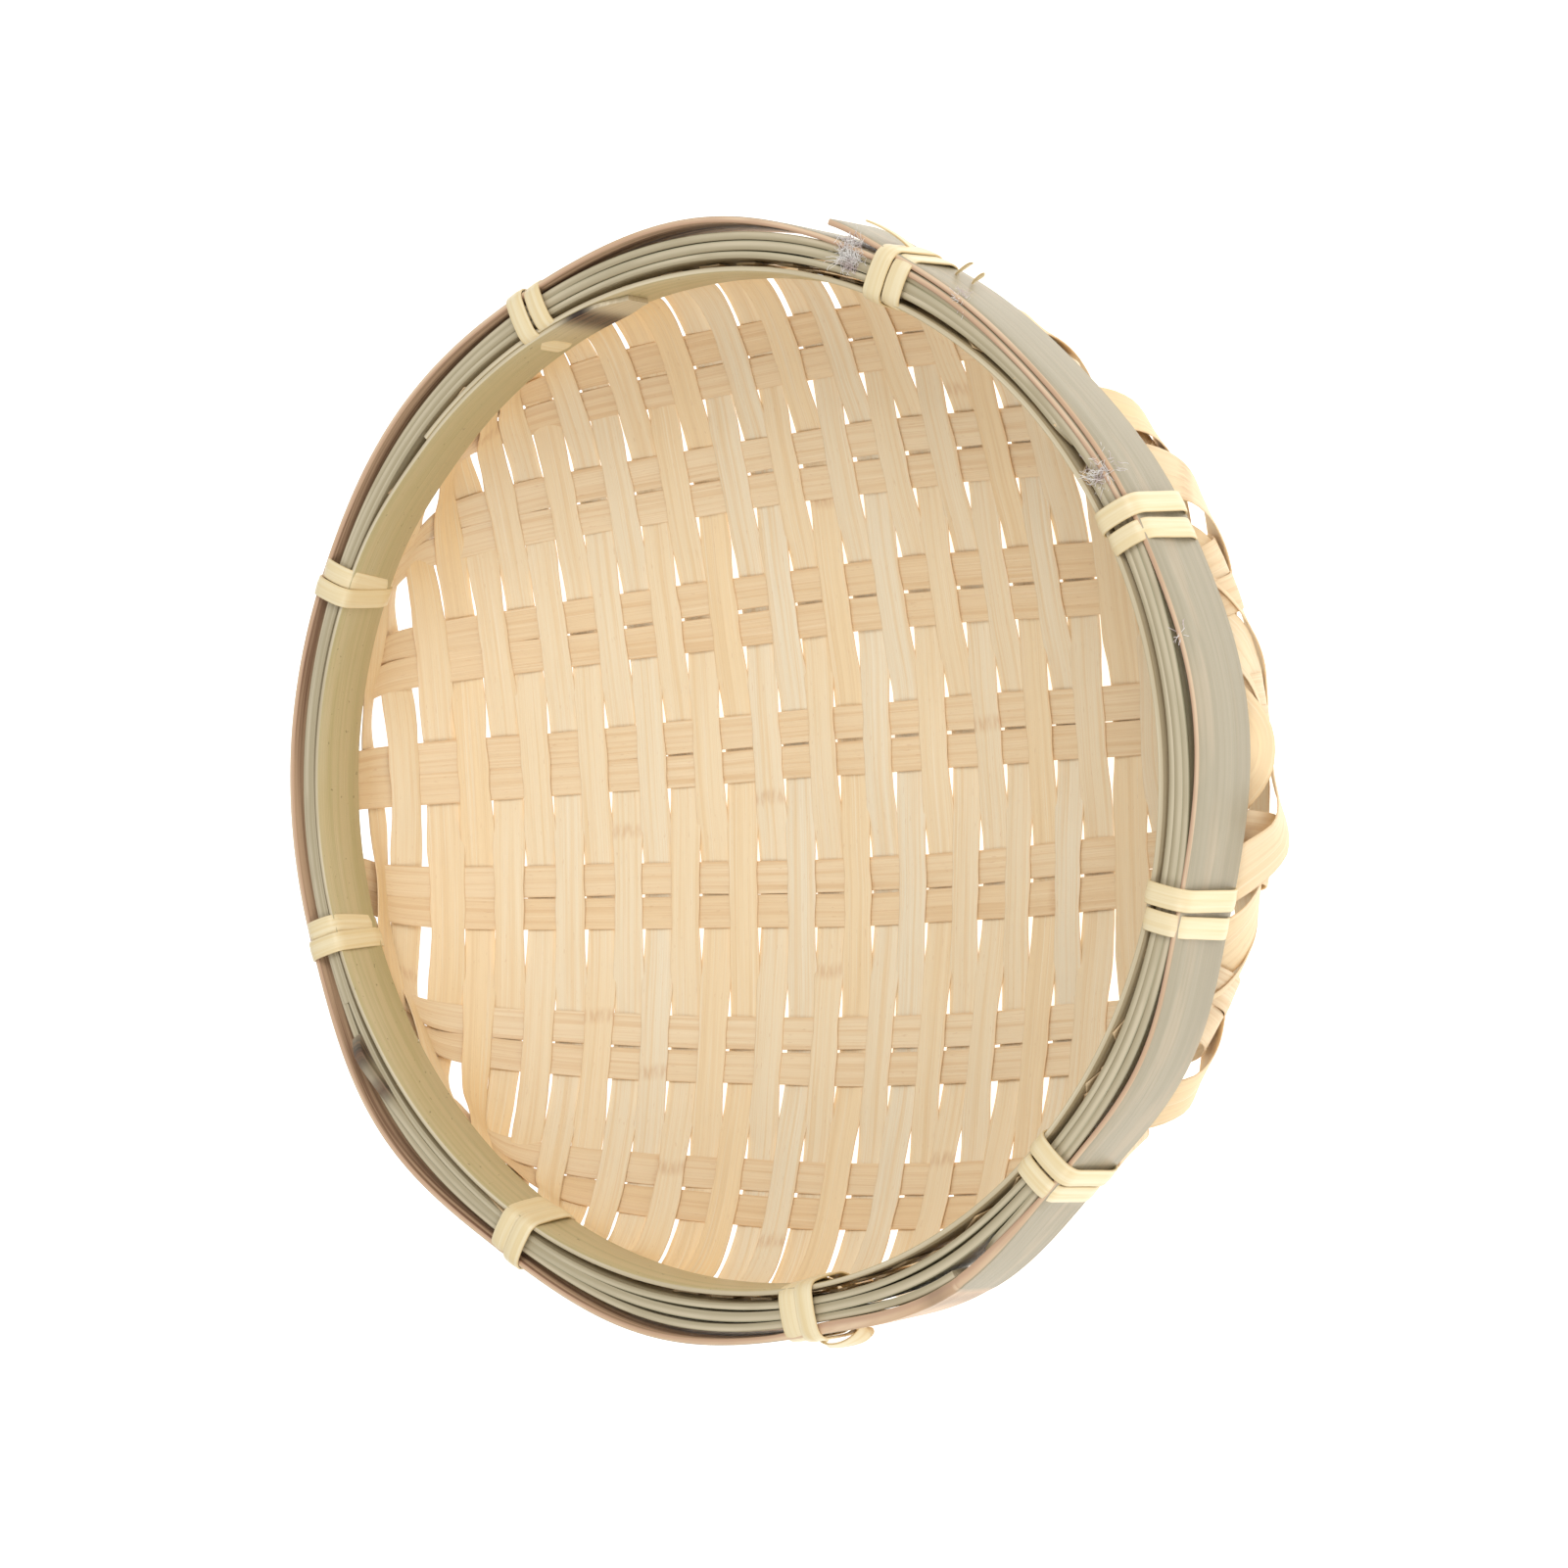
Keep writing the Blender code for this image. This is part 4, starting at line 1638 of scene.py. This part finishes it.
@dataclass
class Ties:
    """The strip ties: each goes round the rim twice, its turns side by side or in a narrow V."""

    rim: Rim
    thickness: float = 0.00042
    width: float = 0.0038
    shapes: tuple[TieShape, ...] = (
        TieShape(inside=(-3.4, 1.6), top=(-2.1, 2.0), outside=(-1.7, 2.6)),
        TieShape(inside=(-0.5, 0.9), top=(-1.9, 1.9), outside=(-3.3, 2.2)),
        TieShape(inside=(-0.9, 1.4), top=(-1.9, 1.8), outside=(-2.0, 1.9)),
        TieShape(inside=(-2.6, 1.5), top=(-2.0, 1.8), outside=(-1.2, 2.7)),
        TieShape(inside=(-2.2, 1.8), top=(-1.9, 1.9), outside=(-1.2, 2.9)),
        TieShape(inside=(-2.4, 2.4), top=(-2.2, 2.2), outside=(-2.7, 1.6)),
        TieShape(inside=(-1.9, 2.0), top=(-2.2, 2.2), outside=(-2.6, 2.5)),
        TieShape(inside=(-1.6, 1.4), top=(-2.3, 2.1), outside=(-2.8, 2.2)),
        TieShape(inside=(-1.4, 2.4), top=(-1.8, 2.0), outside=(-2.0, 1.6)),
    )
    inside_foot: float = 0.0440
    outside_foot: float = 0.0432
    # A turn's corners, as how far out and how far up they are from the places that section() gives.
    inside_corners: Offsets = ((0.0038, -0.0010), (0.0008, 0.0010), (-0.0003, 0.0040), (-0.0002, 0.0090))
    inner_edge: Offsets = ((0.0002, -0.0012), (0.0013, -0.0001))
    crown: Offsets = ((0.0, 0.0003),)
    outer_edge: Offsets = ((-0.0014, 0.0001), (0.0001, -0.0013))
    outer_side: Offsets = ((0.0003, 0.0070),)
    outside_corners: Offsets = ((0.0004, 0.0030), (0.0, 0.0008), (-0.0016, -0.0004))
    tucked_end: Offsets = ((0.0034, 0.0006),)
    side_lean: float = 0.4
    inner_ply: float = 0.0011
    gap: float = 0.00012
    rows: int = 84
    passes: int = 3
    cup: float = 0.00012
    end_share: float = 0.05
    end_narrowing: float = 0.25
    thin: float = 0.9
    looped: int = 5
    loop_turn: tuple[float, float, int] = (-0.15 * math.pi, 1.25 * math.pi, 40)
    # Each pair is where the loop's middle is, and how far it reaches from there.
    loop_out: tuple[float, float] = (0.0006, 0.0018)
    loop_drop: tuple[float, float] = (0.0085, 0.0022)
    loop_side: tuple[float, float] = (0.0028, 0.0046)
    loop_width: float = 0.85
    loop_tilt: float = 0.3
    tailed: int = 9
    tail_points: int = 24
    tail_foot: tuple[float, float] = (0.0004, 0.0105)
    tail_bow: float = 0.45
    tail_turn: float = 1.5
    tail_rise_power: float = 1.3
    tail_slant: float = 0.7
    tail_tilt: float = 0.6
    tail_tip: tuple[float, float] = (0.06, 0.85)
    # Each tail's length, sideways place, rise and width.
    tails: tuple[tuple[float, float, float, float], ...] = (
        (0.0075, 0.0022, 0.0120, 0.0036),
        (0.0070, -0.0060, 0.0040, 0.0024),
        (0.0050, -0.0100, 0.0035, 0.0022),
    )
    seed: int = 7

    def section(self, angle: float, lift: float) -> np.ndarray:
        """The path of one turn over the rim.

        Args:
            angle: The tie's angle in radians.
            lift: How far it lies off the turn below it.

        Returns:
            Rows of radius and height, from inside the bowl, over the rim, to outside and in again.
        """
        clear = self.thickness / 2 + self.gap + lift
        inner = self.rim.inner_radius - self.inner_ply - self.rim.shift * math.sin(angle) - clear
        inner += float(self.rim.press(np.degrees(angle)))
        outer = self.rim.outer_radius + clear
        top = self.rim.top + clear
        lean = float(self.rim.lean(np.degrees(angle)))
        places = (
            (inner, self.inside_foot, self.inside_corners),
            (inner, top, self.inner_edge),
            ((inner + outer - lean) / 2, top, self.crown),
            (outer - lean, top, self.outer_edge),
            (outer - lean * self.side_lean, self.outside_foot, self.outer_side),
            (outer, self.outside_foot, self.outside_corners),
            (inner, self.outside_foot, self.tucked_end),
        )
        corners = [
            (out + aside, height + above)
            for out, height, offsets in places
            for aside, above in offsets
        ]
        return self._rounded(np.array(corners))

    def _rounded(self, corners: np.ndarray) -> np.ndarray:
        """Rounds a run of corners.

        Args:
            corners: Rows of two numbers.

        Returns:
            Many more rows, along a smooth line through them.
        """
        return smoothed(spaced(corners, run_length(corners), self.rows), self.passes)

    def _turn(self, angle: float, places: tuple[float, float, float], lift: float, grain: float) -> Strand:
        """One turn of a tie.

        Args:
            angle: The tie's angle in radians.
            places: Its sideways places inside the bowl, on top and outside, in millimetres.
            lift: How far it lies off the turn below it.
            grain: Where its grain starts.

        Returns:
            The strand.
        """
        outward = np.array([math.cos(angle), math.sin(angle), 0.0])
        sideways = np.array([-math.sin(angle), math.cos(angle), 0.0])
        rows = self.section(angle, lift)
        share = np.linspace(0.0, 1.0, len(rows))
        drift = eased(share, [0.0, 0.45, 1.0], list(places)) * MM
        points = outward * rows[:, :1] + UP * rows[:, 1:2] + sideways * drift[:, None]
        slope = unit(np.gradient(rows, axis=0))
        facing = -outward * slope[:, 1:2] + UP * slope[:, :1]
        strand = Strand.even(points, facing, self.width, self.thickness, travel_start=grain)
        strand.cup += self.cup
        ends = bell(share, 0.0, self.end_share) + bell(share, 1.0, self.end_share)
        strand.half_width *= 1 - self.end_narrowing * ends
        return strand

    def _tail(self, angle: float, reach: float, side: float, rise: float, width: float) -> Strand:
        """A cut tail that stands out beside a tie.

        Args:
            angle: The tie's angle in radians.
            reach: Its length.
            side: Its sideways place.
            rise: How far its tip is above its foot.
            width: Its width at the foot.

        Returns:
            The strand, which narrows to a point.
        """
        outward = np.array([math.cos(angle), math.sin(angle), 0.0])
        sideways = np.array([-math.sin(angle), math.cos(angle), 0.0])
        share = np.linspace(0.0, 1.0, self.tail_points)
        start = outward * (self.rim.outer_radius - self.tail_foot[0]) + sideways * side
        start += UP * (self.rim.top - self.tail_foot[1])
        points = start + outward * (reach * self.tail_bow * np.sin(share * self.tail_turn))[:, None]
        points += UP * (rise * share**self.tail_rise_power)[:, None]
        points += sideways * (reach * self.tail_slant * share * math.copysign(1.0, side))[:, None]
        facing = np.tile(outward + self.tail_tilt * UP, (self.tail_points, 1))
        strand = Strand.even(points, facing, width, self.thickness * self.thin)
        strand.half_width = width / 2 * np.clip(1.05 - share, *self.tail_tip)
        return strand

    def _loop(self, angle: float) -> Strand:
        """The slack loop that hangs outside the hoop at one tie.

        Args:
            angle: The tie's angle in radians.

        Returns:
            The strand.
        """
        outward = np.array([math.cos(angle), math.sin(angle), 0.0])
        sideways = np.array([-math.sin(angle), math.cos(angle), 0.0])
        turn = np.linspace(*self.loop_turn)
        out = self.rim.outer_radius + self.loop_out[0] + self.loop_out[1] * np.clip(np.sin(turn), -0.1, 1.0)
        height = self.rim.top - self.loop_drop[0] + self.loop_drop[1] * np.sin(turn)
        drift = self.loop_side[0] - self.loop_side[1] * np.cos(turn)
        points = outward * out[:, None] + UP * height[:, None] + sideways * drift[:, None]
        facing = outward * np.sin(turn)[:, None] - sideways * np.cos(turn)[:, None] + self.loop_tilt * UP
        return Strand.even(points, facing, self.width * self.loop_width, self.thickness * self.thin)

    def build(self, sweep: StripSweep, finish: bpy.types.Material) -> list[bpy.types.Object]:
        """Binds the rim.

        Args:
            sweep: The strip maker.
            finish: The ties' finish.

        Returns:
            The ties.
        """
        rng = np.random.default_rng(self.seed)
        pieces = []
        for number, (degrees, shape) in enumerate(zip(self.rim.tie_angles, self.shapes), start=1):
            angle = math.radians(degrees)
            strands = []
            for turn in (0, 1):
                places = (shape.inside[turn], shape.top[turn], shape.outside[turn])
                lift = turn * self.thickness
                strands.append(self._turn(angle, places, lift, rng.uniform(0.0, 2.0)))
            if number == self.looped:
                strands.append(self._loop(angle))
            if number == self.tailed:
                strands += [self._tail(angle, *tail) for tail in self.tails]
            name = f"tie_{number}"
            piece = sweep.piece(f"strip_{name}", strands, finish)
            pieces.append(stand_for(piece, name))
        return pieces


@dataclass(frozen=True)
class Tuft:
    """A tuft of torn fibres: its angle on the rim, radius, height, spread and number of fibres."""

    angle: float
    radius: float
    height: float
    spread: float
    count: int


@dataclass
class Tufts:
    """Loose fibres where the skin and the splint ends are torn, curled by a Geometry Nodes tree."""

    rim: Rim
    tufts: tuple[Tuft, ...] = (
        Tuft(angle=338.0, radius=0.0965, height=0.0578, spread=0.0026, count=300),
        Tuft(angle=323.6, radius=0.0975, height=0.0572, spread=0.0012, count=40),
        Tuft(angle=299.0, radius=0.0950, height=0.0570, spread=0.0024, count=240),
        Tuft(angle=280.8, radius=0.0978, height=0.0575, spread=0.0008, count=14),
    )
    fibre_length: float = 0.0020
    fibre_radius: float = 0.00005
    fibre_points: int = 9
    fibre_sides: int = 4
    most_tilt: float = 1.9
    bend_scale: float = 420.0
    scatter: float = 0.45
    squash: tuple[float, float, float] = (1.0, 1.0, 0.30)
    curl: float = 1.6
    seed: int = 19

    def _tree(self) -> PointTree:
        """Builds the tree that grows curled fibres from scattered points.

        Returns:
            The tree.
        """
        inputs = {"Length": "Float", "Radius": "Float", "Curl": "Float", "Seed": "Int"}
        tree = PointTree("torn fibres", inputs)
        line_inputs = {"Direction": tuple(UP), "Length": tree.given["Length"]}
        line = tree.add("GeometryNodeCurvePrimitiveLine", line_inputs, mode="DIRECTION").outputs["Curve"]
        steps = tree.add("GeometryNodeResampleCurve", {"Curve": line, "Count": self.fibre_points})
        turn_inputs = {
            "Min": (-self.most_tilt, -self.most_tilt, 0.0),
            "Max": (self.most_tilt, self.most_tilt, TURN),
            "Seed": tree.given["Seed"],
        }
        turn = tree.add("FunctionNodeRandomValue", turn_inputs, data_type="FLOAT_VECTOR")
        place_inputs = {
            "Points": tree.given["Points"],
            "Instance": steps.outputs["Curve"],
            "Rotation": turn.outputs["Value"],
        }
        place = tree.add("GeometryNodeInstanceOnPoints", place_inputs).outputs["Instances"]
        real = tree.add("GeometryNodeRealizeInstances", {"Geometry": place}).outputs["Geometry"]
        bend = tree.add("ShaderNodeTexNoise", {"Scale": self.bend_scale, "Detail": 1.0})
        level = tree.vector("SUBTRACT", {0: bend.outputs["Color"], 1: (0.5, 0.5, 0.5)})
        along = tree.add("GeometryNodeSplineParameter", {}).outputs["Factor"]
        reach = tree.math("MULTIPLY", along, tree.given["Curl"])
        shift = tree.vector("SCALE", {"Vector": level, "Scale": reach})
        curl = tree.add("GeometryNodeSetPosition", {"Geometry": real, "Offset": shift})
        profile_inputs = {"Resolution": self.fibre_sides, "Radius": tree.given["Radius"]}
        profile = tree.add("GeometryNodeCurvePrimitiveCircle", profile_inputs)
        solid_inputs = {
            "Curve": curl.outputs["Geometry"],
            "Profile Curve": profile.outputs["Curve"],
            "Fill Caps": True,
        }
        tree.end(tree.add("GeometryNodeCurveToMesh", solid_inputs).outputs["Mesh"])
        return tree

    def build(self, finish: bpy.types.Material) -> list[bpy.types.Object]:
        """Grows the tufts.

        Args:
            finish: The fibres' finish.

        Returns:
            One piece for each tuft.
        """
        tree = self._tree()
        rng = np.random.default_rng(self.seed)
        pieces = []
        for number, tuft in enumerate(self.tufts, start=1):
            angle = math.radians(tuft.angle)
            middle = np.array([tuft.radius * math.cos(angle), tuft.radius * math.sin(angle), tuft.height])
            middle[1] -= self.rim.shift
            scatter = rng.normal(0.0, self.scatter, (tuft.count, 3))
            roots = middle + scatter * tuft.spread * np.array(self.squash)
            cloud = bpy.data.meshes.new("roots")
            cloud.from_pydata([tuple(root) for root in roots], [], [])
            values = {
                "Length": self.fibre_length,
                "Radius": self.fibre_radius,
                "Curl": tuft.spread * self.curl,
                "Seed": number,
                "Finish": finish,
            }
            mesh = tree.run(cloud, values)
            mesh.name = f"torn_fibres_{number}"
            pieces.append(put_in_scene(mesh.name, mesh))
        return pieces


@dataclass(frozen=True)
class FibreFinish:
    """Torn fibre: off-white with a purplish brown tint at places."""

    name: str = "torn_fibre"
    white: Colour = (0.93, 0.90, 0.86, 1.0)
    tint: Colour = (0.66, 0.54, 0.52, 1.0)
    cloud_scale: float = 330.0
    tint_range: tuple[float, float] = (0.42, 0.66)
    roughness: float = 0.8

    def make(self) -> bpy.types.Material:
        """Builds the material.

        Returns:
            The material.
        """
        work = Finish(self.name)
        place = work.add("ShaderNodeTexCoord", {}).outputs["Object"]
        cloud = work.add("ShaderNodeTexNoise", {"Vector": place, "Scale": self.cloud_scale})
        body = work.mix(self.white, self.tint, work.span(cloud.outputs["Fac"], *self.tint_range))
        work.put(body, work.shader.inputs["Base Color"])
        work.shader.inputs["Roughness"].default_value = self.roughness
        return work.material


@dataclass
class Studio:
    """The floor, the soft lights and the camera."""

    azimuth: float = -2.755
    elevation: float = 55.342
    roll: float = 0.69
    distance: float = 0.600
    focal_length: float = 77.15
    aim_height: float = 0.0588
    slide: tuple[float, float] = (-0.00057, -0.01485)
    sensor_width: float = 36.0
    white: Colour = (1.0, 1.0, 1.0, 1.0)
    floor_colour: Colour = (0.93, 0.93, 0.93, 1.0)
    floor_radius: float = 6.0
    floor_sides: int = 96
    floor_roughness: float = 0.9
    floor_specular: float = 0.1
    floor_glow: float = 0.60
    room_light: float = 0.55
    lamp_aim: tuple[float, float, float] = (0.0, 0.0, 0.03)

    def build_floor(self) -> None:
        """A plain pale floor."""
        mesh = bpy.data.meshes.new("floor")
        disc = bmesh.new()
        bmesh.ops.create_circle(disc, cap_ends=True, radius=self.floor_radius, segments=self.floor_sides)
        disc.to_mesh(mesh)
        disc.free()
        floor = put_in_scene("floor", mesh)
        paint = bpy.data.materials.new("floor paint")
        paint.use_nodes = True
        shader = paint.node_tree.nodes["Principled BSDF"]
        shader.inputs["Base Color"].default_value = self.floor_colour
        shader.inputs["Roughness"].default_value = self.floor_roughness
        shader.inputs["Specular IOR Level"].default_value = self.floor_specular
        shader.inputs["Emission Color"].default_value = self.white
        shader.inputs["Emission Strength"].default_value = self.floor_glow
        mesh.materials.append(paint)

    def build_lights(self) -> None:
        """A bright room, one wide key light and a weaker fill."""
        world = bpy.data.worlds.new("room")
        world.use_nodes = True
        background = world.node_tree.nodes["Background"]
        background.inputs["Color"].default_value = self.white
        background.inputs["Strength"].default_value = self.room_light
        bpy.context.scene.world = world
        self._lamp("key", (0.80, -0.55, 1.20), 0.9, 8.5)
        self._lamp("fill", (-0.90, -0.60, 1.00), 0.8, 5.5)

    def _lamp(self, name: str, place: tuple[float, float, float], size: float, power: float) -> None:
        """One soft lamp that points at the basket.

        Args:
            name: The lamp's name.
            place: Where it stands.
            size: Its width.
            power: Its power in watts.
        """
        data = bpy.data.lights.new(name, "AREA")
        data.shape = "DISK"
        data.size = size
        data.energy = power
        lamp = put_in_scene(name, data)
        lamp.location = place
        aim = Vector(self.lamp_aim) - Vector(place)
        lamp.rotation_euler = aim.to_track_quat("-Z", "Y").to_euler()

    def build_camera(self) -> None:
        """The camera, turned so that +X is up in its view."""
        turn, tilt, roll = map(math.radians, (self.azimuth, self.elevation, self.roll))
        back = Vector(
            (
                math.sin(turn) * math.cos(tilt),
                -math.cos(turn) * math.cos(tilt),
                math.sin(tilt),
            )
        )
        right = Vector((math.cos(turn), math.sin(turn), 0.0))
        up = Vector((-math.sin(turn) * math.sin(tilt), math.cos(turn) * math.sin(tilt), math.cos(tilt)))
        view_up = right * math.cos(roll) - up * math.sin(roll)
        view_left = right * math.sin(roll) + up * math.cos(roll)
        place = Vector((0.0, 0.0, self.aim_height)) + back * self.distance
        place += right * self.slide[0] + up * self.slide[1]
        data = bpy.data.cameras.new("camera")
        data.sensor_width = self.sensor_width
        data.lens = self.focal_length
        camera = put_in_scene("camera", data)
        axes = Matrix((-view_left, view_up, back)).transposed().to_4x4()
        camera.matrix_world = Matrix.Translation(place) @ axes
        bpy.context.scene.camera = camera

    def build(self) -> None:
        """Sets the studio up."""
        self.build_floor()
        self.build_lights()
        self.build_camera()
        bpy.context.scene.view_settings.view_transform = "Standard"


def main() -> None:
    """Builds the studio and the basket, piece by piece."""
    logging.basicConfig(level=logging.INFO, format="%(message)s")
    Studio().build()
    finish = finishes()
    sweep = StripSweep()
    rim = Rim()
    rim.measure()
    pieces = Weave(rim=rim, bowl=BowlShape()).build(sweep, finish)
    pieces.append(OuterHoop(rim=rim).build(sweep, finish[Grain.OUTER_HOOP]))
    pieces.append(InnerHoop(rim=rim).build(sweep, finish[Grain.INNER_HOOP]))
    pieces += Fillers(rim=rim).build(sweep, finish[Grain.FILLER])
    pieces += Ties(rim=rim).build(sweep, finish[Grain.TIE])
    pieces += Tufts(rim=rim).build(FibreFinish().make())
    for piece in pieces:
        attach(piece, "root")
        LOG.info("%s: %d faces", piece.name, len(piece.data.polygons))


if __name__ == "__main__":
    main()
